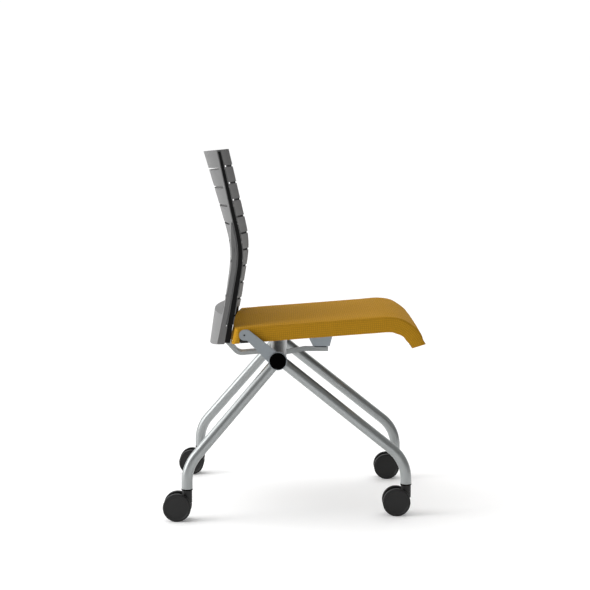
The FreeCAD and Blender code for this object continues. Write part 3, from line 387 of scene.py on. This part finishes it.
def moulded(name, base, gloss, grain=1500.0, depth=0.25, specular=0.4, shade_slots_below=None):
    """Moulded plastic with a fine grain, and painted shade darkening the walls of any slots below
    a height.
    """
    finish = Finish(name, IOR=1.47, Specular_IOR_Level=specular)
    spots = finish.noise(grain, 3.0, 0.6)
    flow = finish.noise(9.0, 3.0, 0.5, stretch=(1.0, 1.0, 0.35), distortion=0.6)
    scuff = finish.ramp(finish.noise(60.0, 5.0, 0.65), 0.6, 0.78)
    base_mix = finish.mix((0.6 * flow + 0.4 * spots).clamped(), tone(base, 0.92), tone(base, 1.08))
    if shade_slots_below:
        normal = finish.node("ShaderNodeTexCoord", output="Normal")
        facing = abs(finish.axes(normal)[2])
        # Slot walls below the height are painted near-black: painted shade standing in for the
        # shade inside the slots
        painted_slot_shade = finish.ramp(facing, *SLOT_SHADE_FACING) * (finish.axes()[2] < shade_slots_below)
        base_mix = finish.mix(painted_slot_shade, base_mix, tone(base, 0.015))
    rough = gloss + 0.06 * flow + 0.08 * scuff
    return finish.surface(Base_Color=base_mix, Roughness=rough,
                          Normal=finish.bump(spots, depth, 0.00018))


def steel(name, base, brush=(1.0, 30.0, 30.0)):
    """Bright turned steel with fine tool marks."""
    finish = Finish(name, Metallic=1.0)
    marks = finish.noise(900.0, 2.0, 0.5, stretch=brush)
    tarnish = finish.noise(80.0, 3.0)
    base_mix = finish.mix(tarnish, tone(base, 0.85), base)
    return finish.surface(Base_Color=base_mix, Roughness=0.24 + 0.14 * marks,
                          Normal=finish.bump(marks, 0.08, 0.0001))


def rubber(name, base):
    """Matt rubber with a dusty bloom."""
    finish = Finish(name, IOR=1.52)
    grain = finish.noise(1100.0, 4.0, 0.7)
    bloom = finish.ramp(finish.noise(45.0, 4.0), 0.5, 0.8)
    base_mix = finish.mix(0.5 * bloom, base, tone(base, 1.9))
    return finish.surface(Base_Color=base_mix, Roughness=0.68 + 0.12 * grain,
                          Normal=finish.bump(grain, 0.3, 0.0002))


RING_PITCH = 0.0009
# Depths under the rim between which a wheel's face turns into its tread
TREAD_DEPTHS = (0.0018, 0.0003)


def wheel_finish(name, base, centre, radius):
    """Caster wheel: ringed moulded face and a duller, faintly worn tread."""
    finish = Finish(name, IOR=1.5, Specular_IOR_Level=0.3)
    across, depth, height = finish.axes()
    along = depth - centre.y
    above = height - centre.z
    reach = (along * along + above * above).root()
    rings = (reach * (2 * math.pi / RING_PITCH)).sine()
    tread = finish.ramp(reach, *(radius - depth_in for depth_in in TREAD_DEPTHS))
    grain = finish.noise(1300.0, 3.0, 0.6)
    dust = finish.ramp(finish.noise(85.0, 5.0, 0.6), 0.48, 0.75)
    face = finish.mix(grain, tone(base, 0.8), tone(base, 1.25))
    worn = finish.mix(dust, tone(base, 0.75), tone(base, 1.9))
    rough = 0.36 + 0.05 * rings + tread * 0.22 + 0.06 * dust
    relief = 0.3 * rings * (1 - tread) + grain
    return finish.surface(Base_Color=finish.mix(tread, face, worn), Roughness=rough,
                          Normal=finish.bump(relief, 0.16, 0.00012))


# Depth, half width and fade of the seam's groove along the pad's top edge, which is bumped in and
# darkened with painted shade
SEAM_DEPTH = 0.0014
SEAM_HALF_WIDTH = 0.0008
SEAM_FADE = (0.005, 0.007)


def woven(name, base, pitch):
    """Basket-woven upholstery on the pad's own cloth map, which is in metres."""
    finish = Finish(name, IOR=1.45, Sheen_Weight=0.01, Sheen_Roughness=0.4,
                    Specular_IOR_Level=0.03)
    cloth = finish.node("ShaderNodeUVMap", {"uv_map": "cloth"}, output="UV")
    across, along, unused = finish.axes(cloth)
    warp = across / pitch
    weft = along / pitch
    warp_pair, weft_pair = warp / 2.0, weft / 2.0
    over = (warp_pair.floor() + weft_pair.floor()) % 2.0
    warp_bulge = (warp_pair.fraction() * math.pi).sine()
    weft_bulge = (weft_pair.fraction() * math.pi).sine()
    yarn = over * (warp.fraction() * math.pi).sine() * (0.4 + 0.6 * weft_bulge) \
        + (1 - over) * (weft.fraction() * math.pi).sine() * (0.4 + 0.6 * warp_bulge)
    gap = 1 - finish.ramp(warp_bulge.smaller(weft_bulge), 0.1, 0.75)
    slub = finish.noise(190.0, 3.0, 0.65)
    heather = finish.noise(1500.0, 2.0, 0.6)
    wear = finish.noise(5.0, 3.0)
    shade = (0.55 * yarn + 0.3 * slub + 0.25 * heather).clamped()
    body = finish.mix(shade * (1 - 0.35 * gap), tone(base, 0.38), tone(base, 1.5))
    faded = finish.mix(0.35 * wear, body, tone(base, 1.12))
    edge = finish.node("ShaderNodeUVMap", {"uv_map": "edge"}, output="UV")
    inward, depth, unused = finish.axes(edge)
    line = (depth - SEAM_DEPTH) / SEAM_HALF_WIDTH
    near = 1 - finish.ramp(inward, *SEAM_FADE)
    seam = (1 - line * line).larger(0.0) * near
    # The seam's groove is darkened: painted shade in the crease along the pad's top edge
    seam_shaded = finish.mix(0.3 * seam, faded, tone(base, 0.4))
    height = yarn * 0.75 + slub * 0.5 - seam * 0.8
    return finish.surface(Base_Color=seam_shaded, Roughness=0.86 - 0.1 * shade,
                          Normal=finish.bump(height, 0.55, 0.00035))


def studio_floor(name, base, glow):
    """A matt pale floor that glows slightly, so that it stays white under the lights."""
    finish = Finish(name, Specular_IOR_Level=0.1, Emission_Strength=glow)
    finish.surface(Emission_Color=(1.0, 1.0, 1.0, 1.0))
    cloud = finish.noise(0.8, 3.0)
    return finish.surface(Base_Color=finish.mix(cloud, tone(base, 0.985), base),
                          Roughness=0.8 + 0.1 * cloud)


def paint(material, *names):
    """Give CAD nodes one finish."""
    for name in names:
        mesh = NODES[name].data
        mesh.materials.clear()
        mesh.materials.append(material)


# Sizes and colours that a user may change

class ChairSizes(bpy.types.PropertyGroup):
    """Sizes of the soft and small pieces"""

    seat_slope: FloatProperty(
        name="Seat slope", description="Rise of the seat towards its front",
        default=math.radians(4.4), subtype="ANGLE")
    bend_forward: FloatProperty(
        name="Bend centre forward",
        description="Distance of the front bend's centre from the middle",
        default=0.2136, unit="LENGTH")
    bend_height: FloatProperty(
        name="Bend centre height", description="Height of the front bend's centre",
        default=0.3719, unit="LENGTH")
    bend_radius: FloatProperty(
        name="Bend radius", description="Radius of the pad's top face over the front",
        default=0.088, unit="LENGTH")
    pad_thickness: FloatProperty(
        name="Pad thickness", description="Thickness of the seat pad, square to its top",
        default=0.035, unit="LENGTH")
    cloth_voxel: FloatProperty(
        name="Cloth grid", description="Mesh size of the pad before the cloth simulation",
        default=0.0042, unit="LENGTH")
    swell: FloatProperty(
        name="Swell", description="Farthest that the stuffing may push the cover out",
        default=0.0014, unit="LENGTH")
    draw_in: FloatProperty(
        name="Draw-in", description="How much smaller the cover is cut than the pad",
        default=0.0006, unit="LENGTH")
    weave_pitch: FloatProperty(
        name="Weave pitch", description="Distance between neighbouring yarns",
        default=0.0023, unit="LENGTH")
    weld_radius: FloatProperty(
        name="Weld bead", description="Radius of the weld beads",
        default=0.0016, unit="LENGTH")
    ripple: FloatProperty(
        name="Weld ripple", description="Distance between the ripples of a bead",
        default=0.0017, unit="LENGTH")
    socket_sides: IntProperty(
        name="Socket sides", description="Number of sides of the screws' drive sockets",
        default=6, min=3, max=12)


class ChairColours(bpy.types.PropertyGroup):
    """Colours of the chair's finishes"""

    silver: FloatVectorProperty(
        name="Frame silver", description="Powder coat of tubes and bars", subtype="COLOR",
        default=(0.33, 0.345, 0.345))
    bracket: FloatVectorProperty(
        name="Bracket silver", description="Powder coat of the seat brackets", subtype="COLOR",
        default=(0.27, 0.295, 0.315))
    shell: FloatVectorProperty(
        name="Back shell", description="Moulded slatted back", subtype="COLOR",
        default=(0.096, 0.096, 0.096))
    carrier: FloatVectorProperty(
        name="Back carrier", description="Shroud and arms behind the back", subtype="COLOR",
        default=(0.142, 0.142, 0.142))
    black: FloatVectorProperty(
        name="Black plastic", description="Rails, caps, pan and casters", subtype="COLOR",
        default=(0.012, 0.012, 0.012))
    stop: FloatVectorProperty(
        name="Seat stop", description="Tapered block under the seat", subtype="COLOR",
        default=(0.44, 0.49, 0.53))
    steel: FloatVectorProperty(
        name="Bright steel", description="Pins, stems and axles", subtype="COLOR",
        default=(0.55, 0.55, 0.56))
    fabric: FloatVectorProperty(
        name="Seat fabric", description="Woven upholstery", subtype="COLOR",
        default=(0.452, 0.230, 0.016))
    floor: FloatVectorProperty(
        name="Floor", description="Studio floor", subtype="COLOR",
        default=(0.93, 0.93, 0.93))


# Studio

CAMERA_BACK = 4.026
CAMERA_SIDE = -0.0008
CAMERA_UP = 0.860
CAMERA_PITCH = 0.0922
CAMERA_LENS = 102.6
CAMERA_SENSOR = 36.0
CAMERA_REACH = 200.0
FLOOR_HALF = 30
TENT_DIM = 0.145
TENT_BRIGHT = 1.02
TENT_WAY = (0.8, 0.6)
TENT_START = 0.35
TENT_RUN = 0.8
# Direction, strength and spread in degrees
TOP_LIGHT = ((0.2, 0.2, 1.0), 1.5, 100)
# Name, place, target, size and power
PANELS = (("rear_panel", (-0.5, 2.8, 1.3), (0, 0.1, 0.5), 1.8, 46.0),
          ("front_panel", (-0.4, -2.8, 1.7), (0, -0.2, 0.4), 0.7, 1.5))
FLOOR_GLOW = 0.14


class CHAIR_OT_studio(bpy.types.Operator):
    """Set up the floor, the soft lights and the camera"""

    bl_idname = "chair.studio"
    bl_label = "Studio"

    def execute(self, context):
        colours = context.scene.chair_colours
        scene = context.scene
        corners = [(across * FLOOR_HALF, depth * FLOOR_HALF, 0)
                   for across, depth in ((-1, -1), (1, -1), (1, 1), (-1, 1))]
        floor = mesh_object("studio_floor", corners, [(0, 1, 2, 3)])
        floor.data.materials.append(studio_floor("floor", colours.floor, FLOOR_GLOW))
        camera = link(bpy.data.objects.new("camera", bpy.data.cameras.new("camera")))
        camera.data.lens = CAMERA_LENS
        camera.data.sensor_width = CAMERA_SENSOR
        camera.data.clip_end = CAMERA_REACH
        camera.location = (-CAMERA_BACK, CAMERA_SIDE, CAMERA_UP)
        camera.rotation_euler = Euler((math.pi / 2 - CAMERA_PITCH, 0, -math.pi / 2))
        scene.camera = camera
        self.tent(scene)
        self.sun("top_light", *TOP_LIGHT)
        for panel in PANELS:
            self.panel(*panel)
        scene.view_settings.view_transform = "Standard"
        return {"FINISHED"}

    def tent(self, scene):
        """A white light tent, dimmer towards the camera and the chair's front."""
        world = bpy.data.worlds.new("studio")
        scene.world = world
        world.use_nodes = True
        tree = world.node_tree
        tree.nodes.clear()
        place = tree.nodes.new("ShaderNodeTexCoord")
        parts = tree.nodes.new("ShaderNodeSeparateXYZ")
        tree.links.new(place.outputs["Generated"], parts.inputs[0])
        far, rear = (Wire(tree, socket) for socket in parts.outputs[:2])
        rise = ((far * TENT_WAY[0] + rear * TENT_WAY[1] + TENT_START) / TENT_RUN).clamped()
        lamp = tree.nodes.new("ShaderNodeBackground")
        lamp.inputs["Color"].default_value = (1.0, 1.0, 1.0, 1.0)
        feed(tree, lamp.inputs["Strength"], TENT_DIM + (TENT_BRIGHT - TENT_DIM) * rise)
        output = tree.nodes.new("ShaderNodeOutputWorld")
        tree.links.new(lamp.outputs[0], output.inputs["Surface"])

    def sun(self, name, direction, strength, spread):
        data = bpy.data.lights.new(name, "SUN")
        data.energy = strength
        data.angle = math.radians(spread)
        lamp = link(bpy.data.objects.new(name, data))
        lamp.rotation_euler = Vector(direction).to_track_quat("Z", "Y").to_euler()

    def panel(self, name, place, target, size, power):
        data = bpy.data.lights.new(name, "AREA")
        data.size = size
        data.energy = power
        lamp = link(bpy.data.objects.new(name, data))
        lamp.location = place
        lamp.rotation_euler = (Vector(place) - Vector(target)).to_track_quat("Z", "Y").to_euler()


# Frame

LEG_RADIUS = 0.0125
# The leg's distance across at the cross tube, then the bend's corner: depth, across and height
LEG_LINES = ((0.2276, 0.2438, 0.2704, 0.1220), (0.2030, -0.2559, 0.2130, 0.1261))
# Width, thickness, height at the tube's middle, and the run's depth and rise
BAR_LINES = ((0.025, 0.0095, 0.34725, -0.062, 0.011), (0.050, 0.008, 0.3565, 0.098, -0.008))


class CHAIR_OT_frame(bpy.types.Operator):
    """Coat the tubes, bars, brackets and caps"""

    bl_idname = "chair.frame"
    bl_label = "Frame finish"

    def execute(self, context):
        colours = context.scene.chair_colours
        silver = powder_coat("silver_powder_coat", colours.silver)
        paint(silver, "cross_tube", "seat_rest_bar", "back_support_bar",
              *["leg_" + corner for corner in CORNERS])
        paint(powder_coat("bracket_powder_coat", colours.bracket, 0.38),
              *["seat_bracket_" + side for side in SIDES])
        paint(moulded("cap_plastic", tone(colours.black, 0.05), 0.8, 900.0, 0.3, 0.02),
              *["end_cap_" + side for side in SIDES],
              *["caster_socket_" + corner for corner in CORNERS])
        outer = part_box("pivot_pin_left")[1].x
        paint(pin_finish("pin_coat", colours.bracket, outer),
              *["pivot_pin_" + side for side in SIDES])
        return {"FINISHED"}


WELD_SIDES = 48
WELD_STEP = 0.002


class CHAIR_OT_welds(bpy.types.Operator):
    """Lay weld beads where legs, bars and brackets meet the cross tube"""

    bl_idname = "chair.welds"
    bl_label = "Welds"

    def execute(self, context):
        sizes = context.scene.chair_sizes
        colours = context.scene.chair_colours
        low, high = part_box("cross_tube")
        self.axis = (low + high) / 2
        self.radius = (high.z - low.z) / 2
        round_leg = self.round_profile(LEG_RADIUS)
        loops = []
        for side in (-1, 1):
            for top, foot_y, foot_x, foot_z in LEG_LINES:
                start = Vector((side * top, self.axis.y, self.axis.z))
                foot = Vector((side * foot_x, foot_y, foot_z))
                loops.append(self.saddle(start, foot - start, round_leg))
            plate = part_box("seat_bracket_left")[0].x * side
            loops.append([Vector((plate, self.axis.y + self.radius * math.cos(turn),
                                  self.axis.z + self.radius * math.sin(turn)))
                          for turn in self.turns()])
        for width, thick, start_up, reach, rise in BAR_LINES:
            start = Vector((0, self.axis.y, start_up))
            loops.append(self.saddle(start, Vector((0, reach, rise)),
                                     self.flat_profile(width, thick)))
        vertices = [spot for loop in loops for spot in loop]
        edges = []
        first = 0
        for loop in loops:
            count = len(loop)
            edges += [(first + index, first + (index + 1) % count) for index in range(count)]
            first += count
        mesh = bpy.data.meshes.new("weld_beads")
        mesh.from_pydata(vertices, edges, [])
        beads = link(bpy.data.objects.new("weld_beads", mesh))
        coat = powder_coat("weld_powder_coat", colours.silver)
        weld_recipe(coat).make(beads, {"Bead radius": sizes.weld_radius,
                                       "Ripple length": sizes.ripple})
        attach(beads, "frame")
        return {"FINISHED"}

    def turns(self):
        return [2 * math.pi * index / WELD_SIDES for index in range(WELD_SIDES)]

    def round_profile(self, radius):
        return [(radius * math.cos(turn), radius * math.sin(turn)) for turn in self.turns()]

    def flat_profile(self, width, thick):
        """Points round a flat bar's edge, about one step apart."""
        corners = [(-width / 2, -thick / 2), (width / 2, -thick / 2),
                   (width / 2, thick / 2), (-width / 2, thick / 2)]
        spots = []
        for index, (across, over) in enumerate(corners):
            next_across, next_over = corners[(index + 1) % 4]
            steps = max(2, round(math.hypot(next_across - across, next_over - over) / WELD_STEP))
            spots += [(across + (next_across - across) * step / steps,
                       over + (next_over - over) * step / steps) for step in range(steps)]
        return spots

    def saddle(self, start, run, profile):
        """The line where a bar of some profile leaves the cross tube."""
        run = run.normalized()
        over = run.cross(Vector((1, 0, 0))).normalized()
        wide = over.cross(run)
        loop = []
        for across, above in profile:
            spot = start + wide * across + over * above
            y, z = spot.y - self.axis.y, spot.z - self.axis.z
            square = run.y ** 2 + run.z ** 2
            half = y * run.y + z * run.z
            rest = y * y + z * z - self.radius ** 2
            reach = (-half + math.sqrt(half * half - square * rest)) / square
            loop.append(spot + run * reach)
        return loop


# Directions from the screws' heads down their shanks
BAR_SCREW_RUN = (0, 46.0, 7.2)
PAN_SCREW_RUN = (0, math.sin(math.radians(4.4)), math.cos(math.radians(4.4)))
SCREW_KINDS = (
    # CAD node, direction, head height, shank width, body
    ("back_bar_screws", BAR_SCREW_RUN, 0.0036, 0.006, "frame"),
    ("back_rail_screws", (0, 1, 0), 0.0026, 0.004, "frame"),
    ("back_arm_screws", (0, -1, 0), 0.0026, 0.004, "frame"),
    ("seat_pan_screws", PAN_SCREW_RUN, 0.0026, 0.005, "seat"))
SCREW_RIM = 30


class CHAIR_OT_screws(bpy.types.Operator):
    """Turn the plain screws into button heads with drive sockets"""

    bl_idname = "chair.screws"
    bl_label = "Screws"

    def execute(self, context):
        sizes = context.scene.chair_sizes
        colours = context.scene.chair_colours
        black = steel("blackened_steel", tone(colours.steel, 0.12), (40.0, 40.0, 1.0))
        recipe = screw_recipe(black)
        for node, run, head, shank, body in SCREW_KINDS:
            run = Vector(run).normalized()
            places, wide, length = self.measure(node, run)
            screw = self.shape(wide, head, shank, length, sizes.socket_sides)
            group = mesh_object(node + "_turned", places, [])
            turn = group.data.attributes.new("turn", "FLOAT_VECTOR", "POINT")
            angles = run.to_track_quat("Z", "Y").to_euler()
            turn.data.foreach_set("vector", list(angles) * len(places))
            recipe.make(group, {"Screw": screw, "Size": 1.0})
            shade_smooth(group.data, math.radians(35))
            bpy.data.objects.remove(screw)
            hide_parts(node)
            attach(group, body)
        return {"FINISHED"}

    def measure(self, node, run):
        """Where each screw of a node starts, and their head width and length."""
        copy = merged_copy(node, "screw_measure")
        shape = bmesh.new()
        shape.from_mesh(copy.data)
        left = set(shape.verts)
        places = []
        while left:
            seed = left.pop()
            island, queue = [seed], [seed]
            while queue:
                for edge in queue.pop().link_edges:
                    for vertex in edge.verts:
                        if vertex in left:
                            left.discard(vertex)
                            island.append(vertex)
                            queue.append(vertex)
            spots = [vertex.co.copy() for vertex in island]
            start = min(spot.dot(run) for spot in spots)
            length = max(spot.dot(run) for spot in spots) - start
            flat = [spot - run * spot.dot(run) for spot in spots]
            low = Vector([min(spot[axis] for spot in flat) for axis in range(3)])
            high = Vector([max(spot[axis] for spot in flat) for axis in range(3)])
            centre = (low + high) / 2
            wide = max((spot - centre).length for spot in flat)
            places.append(centre + run * start)
        shape.free()
        bpy.data.objects.remove(copy)
        return sorted(places, key=lambda spot: tuple(spot)), wide, length

    def shape(self, wide, head, shank, length, sides):
        """A button-head screw that points up from its head, with a socket in the head."""
        socket = wide * 0.46
        rings = [(socket, head * 0.62, sides), (socket, 0.0, sides), (wide * 0.62, 0.0, 0),
                 (wide * 0.86, head * 0.16, 0), (wide * 0.98, head * 0.42, 0),
                 (wide, head * 0.7, 0), (wide, head, 0), (shank / 2, head, 0),
                 (shank / 2, length - 0.0006, 0), (shank * 0.35, length, 0)]
        vertices = [(0, 0, head * 0.7)]
        for radius, up, flats in rings:
            for index in range(SCREW_RIM):
                turn = 2 * math.pi * index / SCREW_RIM
                reach = radius
                if flats:
                    wedge = 2 * math.pi / flats
                    reach = radius * math.cos(wedge / 2) / math.cos(turn % wedge - wedge / 2)
                vertices.append((reach * math.cos(turn), reach * math.sin(turn), up))
        vertices.append((0, 0, length))
        last = len(vertices) - 1
        faces = []
        for index in range(SCREW_RIM):
            following = (index + 1) % SCREW_RIM
            faces.append((0, 1 + following, 1 + index))
            for ring in range(len(rings) - 1):
                inner, outer = 1 + ring * SCREW_RIM, 1 + (ring + 1) * SCREW_RIM
                faces.append((inner + index, inner + following, outer + following, outer + index))
            end = 1 + (len(rings) - 1) * SCREW_RIM
            faces.append((end + index, end + following, last))
        screw = mesh_object("screw_template", vertices, faces)
        shape = bmesh.new()
        shape.from_mesh(screw.data)
        bmesh.ops.recalc_face_normals(shape, faces=shape.faces)
        shape.to_mesh(screw.data)
        shape.free()
        return screw


# Back

# Height of the solid rim above the shell's first slot
SHELL_RIM = 0.025


class CHAIR_OT_back(bpy.types.Operator):
    """Finish the slatted shell, its rails and the carrier"""

    bl_idname = "chair.back"
    bl_label = "Back finish"

    def execute(self, context):
        colours = context.scene.chair_colours
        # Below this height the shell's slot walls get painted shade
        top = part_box("back_shell")[1].z - SHELL_RIM
        paint(moulded("shell_plastic", colours.shell, 0.40, shade_slots_below=top), "back_shell")
        paint(moulded("carrier_plastic", colours.carrier, 0.44), "back_carrier")
        paint(moulded("rail_plastic", tone(colours.black, 0.5), 0.6, 1000.0, 0.3, 0.12),
              *["back_rail_" + side for side in SIDES])
        return {"FINISHED"}


# Casters

class CHAIR_OT_casters(bpy.types.Operator):
    """Finish the casters, their stems and axles"""

    bl_idname = "chair.casters"
    bl_label = "Caster finish"

    def execute(self, context):
        colours = context.scene.chair_colours
        body = moulded("caster_plastic", tone(colours.black, 0.8), 0.42, 1100.0, 0.25)
        turned = steel("caster_steel", colours.steel)
        for corner in CORNERS:
            wheel = "wheel_outer_" + corner
            low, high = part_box(wheel)
            rolling = wheel_finish("wheel_plastic_" + corner, colours.black, middle(wheel),
                                   (high.z - low.z) / 2)
            paint(rolling, wheel, "wheel_inner_" + corner)
            paint(body, "caster_body_" + corner)
            paint(turned, "caster_stem_" + corner, "caster_axle_" + corner)
        return {"FINISHED"}


# Seat

# How far behind the bend's centre a point may lie and still be on the bend
BEND_REACH_BACK = 0.2
GRID_DEPTH = 7
GRID_FILL = 0.95
CLOTH_FRAMES = 20
# Shares of the pad's thickness: where the cover starts to be tacked, and over what run
TACK_FROM = 0.72
TACK_RUN = 0.2
TACK_LEAST = 0.02
# How far a normal must point sideways before the cover counts as the side, and over what run
SIDE_FROM = 0.3
SIDE_RUN = 0.5
# Share of the swell that the sides lose, and share of it that the cover may sink
SIDE_HOLD = 0.4
SINK_SHARE = 0.15
# Sideways part of a face's normal from which the cloth is laid over the side
SIDE_FACING = 0.72


class PadShape:
    """The pad's side view: a straight sloping run that bends down over the front."""

    def __init__(self, sizes):
        self.slope = sizes.seat_slope
        self.radius = sizes.bend_radius
        self.centre = (-sizes.bend_forward, sizes.bend_height)

    def locate(self, place):
        """How far back along the pad, and how deep under its top, a point is."""
        back = place.y - self.centre[0]
        above = place.z - self.centre[1]
        turn = math.atan2(above, -back)
        if turn < math.pi / 2 + self.slope and back < BEND_REACH_BACK:
            reach = math.hypot(back, above)
            along = (turn - math.pi / 2 - self.slope) * self.radius
            return along, self.radius - reach
        along = back * math.cos(self.slope) - above * math.sin(self.slope)
        reach = back * math.sin(self.slope) + above * math.cos(self.slope)
        return along, self.radius - reach


class CHAIR_OT_seat(bpy.types.Operator):
    """Upholster the seat pad, and finish the pan, the stop and the hinge bushes"""

    bl_idname = "chair.seat"
    bl_label = "Seat"

    def execute(self, context):
        sizes = context.scene.chair_sizes
        colours = context.scene.chair_colours
        self.shape = PadShape(sizes)
        pad = merged_copy("seat_cushion", "seat_pad")
        low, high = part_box("seat_cushion")
        self.half = max(abs(low.x), abs(high.x))
        self.remesh(pad, sizes.cloth_voxel)
        self.stuff(pad, sizes)
        self.map_cloth(pad)
        shade_smooth(pad.data, math.radians(60))
        pad.data.materials.append(woven("seat_weave", colours.fabric, sizes.weave_pitch))
        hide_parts("seat_cushion")
        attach(pad, "seat")
        paint(moulded("pan_plastic", colours.black, 0.55, 700.0, 0.5), "seat_pan")
        paint(moulded("bush_plastic", tone(colours.black, 0.7), 0.5),
              *["pivot_bush_" + side for side in SIDES])
        paint(moulded("stop_plastic", colours.stop, 0.42), "seat_stop")
        paint(rubber("stop_rubber", colours.black), "seat_stop_pad")
        return {"FINISHED"}

    def remesh(self, pad, voxel):
        """Rebuild the pad on an even grid that keeps its edges."""
        longest = max(pad.dimensions)
        grid = pad.modifiers.new("grid", "REMESH")
        grid.mode = "SHARP"
        grid.octree_depth = GRID_DEPTH
        grid.scale = min(GRID_FILL, longest / (voxel * 2 ** grid.octree_depth))
        grid.sharpness = 1.0
        bake_modifiers(pad)

    def stuff(self, pad, sizes):
        """Let pressure fill the cover, then hold each point near where it was cut."""
        mesh = pad.data
        count = len(mesh.vertices)
        cut = np.empty(count * 3)
        mesh.vertices.foreach_get("co", cut)
        cut = cut.reshape(-1, 3)
        normals = np.empty(count * 3)
        mesh.vertices.foreach_get("normal", normals)
        normals = normals.reshape(-1, 3)
        depth = np.array([self.shape.locate(Vector(spot))[1] for spot in cut])
        held = np.clip((depth / sizes.pad_thickness - TACK_FROM) / TACK_RUN, 0, 1)
        side = np.clip((np.abs(normals[:, 0]) - SIDE_FROM) / SIDE_RUN, 0, 1)
        free = 1 - held
        start = cut - normals * (sizes.draw_in * free)[:, None]
        mesh.vertices.foreach_set("co", start.ravel())
        group = pad.vertex_groups.new(name="tacked")
        for index in np.nonzero(held > TACK_LEAST)[0]:
            group.add([int(index)], float(held[index]), "REPLACE")
        cloth = pad.modifiers.new("cloth", "CLOTH")
        settings = cloth.settings
        settings.quality = 5
        settings.mass = 0.3
        settings.tension_stiffness = 25
        settings.compression_stiffness = 25
        settings.shear_stiffness = 10
        settings.bending_stiffness = 2.0
        settings.use_pressure = True
        settings.uniform_pressure_force = 4.0
        settings.vertex_group_mass = "tacked"
        settings.effector_weights.gravity = 0
        scene = bpy.context.scene
        for step in range(1, CLOTH_FRAMES + 1):
            scene.frame_set(step)
        graph = bpy.context.evaluated_depsgraph_get()
        filled = np.empty(count * 3)
        pad.evaluated_get(graph).data.vertices.foreach_get("co", filled)
        pad.modifiers.clear()
        scene.frame_set(1)
        move = filled.reshape(-1, 3) - cut
        length = np.maximum(np.linalg.norm(move, axis=1), 1e-9)
        cap = sizes.swell * free * (1 - SIDE_HOLD * side)
        # The sewn edges hold their line, so the cover hardly sinks
        cap = np.where((move * normals).sum(axis=1) < 0, SINK_SHARE * cap, cap)
        move *= np.minimum(1, cap / length)[:, None]
        mesh.vertices.foreach_set("co", (cut + move).ravel())
        mesh.update()

    def map_cloth(self, pad):
        """Lay the cloth map over the pad in metres, and mark its sewn edge."""
        mesh = pad.data
        places = [self.shape.locate(vertex.co) for vertex in mesh.vertices]
        layer = mesh.uv_layers.new(name="cloth")
        for face in mesh.polygons:
            to_side = abs(face.normal.x) > SIDE_FACING
            for loop in face.loop_indices:
                vertex = mesh.vertices[mesh.loops[loop].vertex_index]
                along, depth = places[vertex.index]
                if to_side:
                    across = math.copysign(self.half + depth, vertex.co.x)
                    layer.data[loop].uv = (across, along)
                else:
                    layer.data[loop].uv = (vertex.co.x, along + depth * 0.5)
        edge = mesh.uv_layers.new(name="edge")
        for loop in mesh.loops:
            vertex = mesh.vertices[loop.vertex_index]
            edge.data[loop.index].uv = (self.half - abs(vertex.co.x), places[vertex.index][1])


class CHAIR_PT_panel(bpy.types.Panel):
    """Steps that dress the chair"""

    bl_idname = "CHAIR_PT_panel"
    bl_label = "Nesting chair"
    bl_space_type = "VIEW_3D"
    bl_region_type = "UI"
    bl_category = "Chair"

    def draw(self, context):
        layout = self.layout
        for step in STEPS:
            layout.operator(step)
        for group in (context.scene.chair_sizes, context.scene.chair_colours):
            box = layout.box()
            for name in group.bl_rna.properties.keys():
                if name not in ("rna_type", "name"):
                    box.prop(group, name)


CLASSES = (ChairSizes, ChairColours, CHAIR_OT_studio, CHAIR_OT_frame, CHAIR_OT_welds,
           CHAIR_OT_back, CHAIR_OT_casters, CHAIR_OT_seat, CHAIR_OT_screws, CHAIR_PT_panel)
STEPS = ("chair.studio", "chair.frame", "chair.welds", "chair.back", "chair.casters",
         "chair.seat", "chair.screws")


def register():
    for item in CLASSES:
        bpy.utils.register_class(item)
    bpy.types.Scene.chair_sizes = PointerProperty(type=ChairSizes)
    bpy.types.Scene.chair_colours = PointerProperty(type=ChairColours)


def unregister():
    del bpy.types.Scene.chair_colours
    del bpy.types.Scene.chair_sizes
    for item in reversed(CLASSES):
        bpy.utils.unregister_class(item)


def main():
    register()
    for step in STEPS:
        group, name = step.split(".")
        getattr(getattr(bpy.ops, group), name)()


if __name__ == "__main__":
    main()
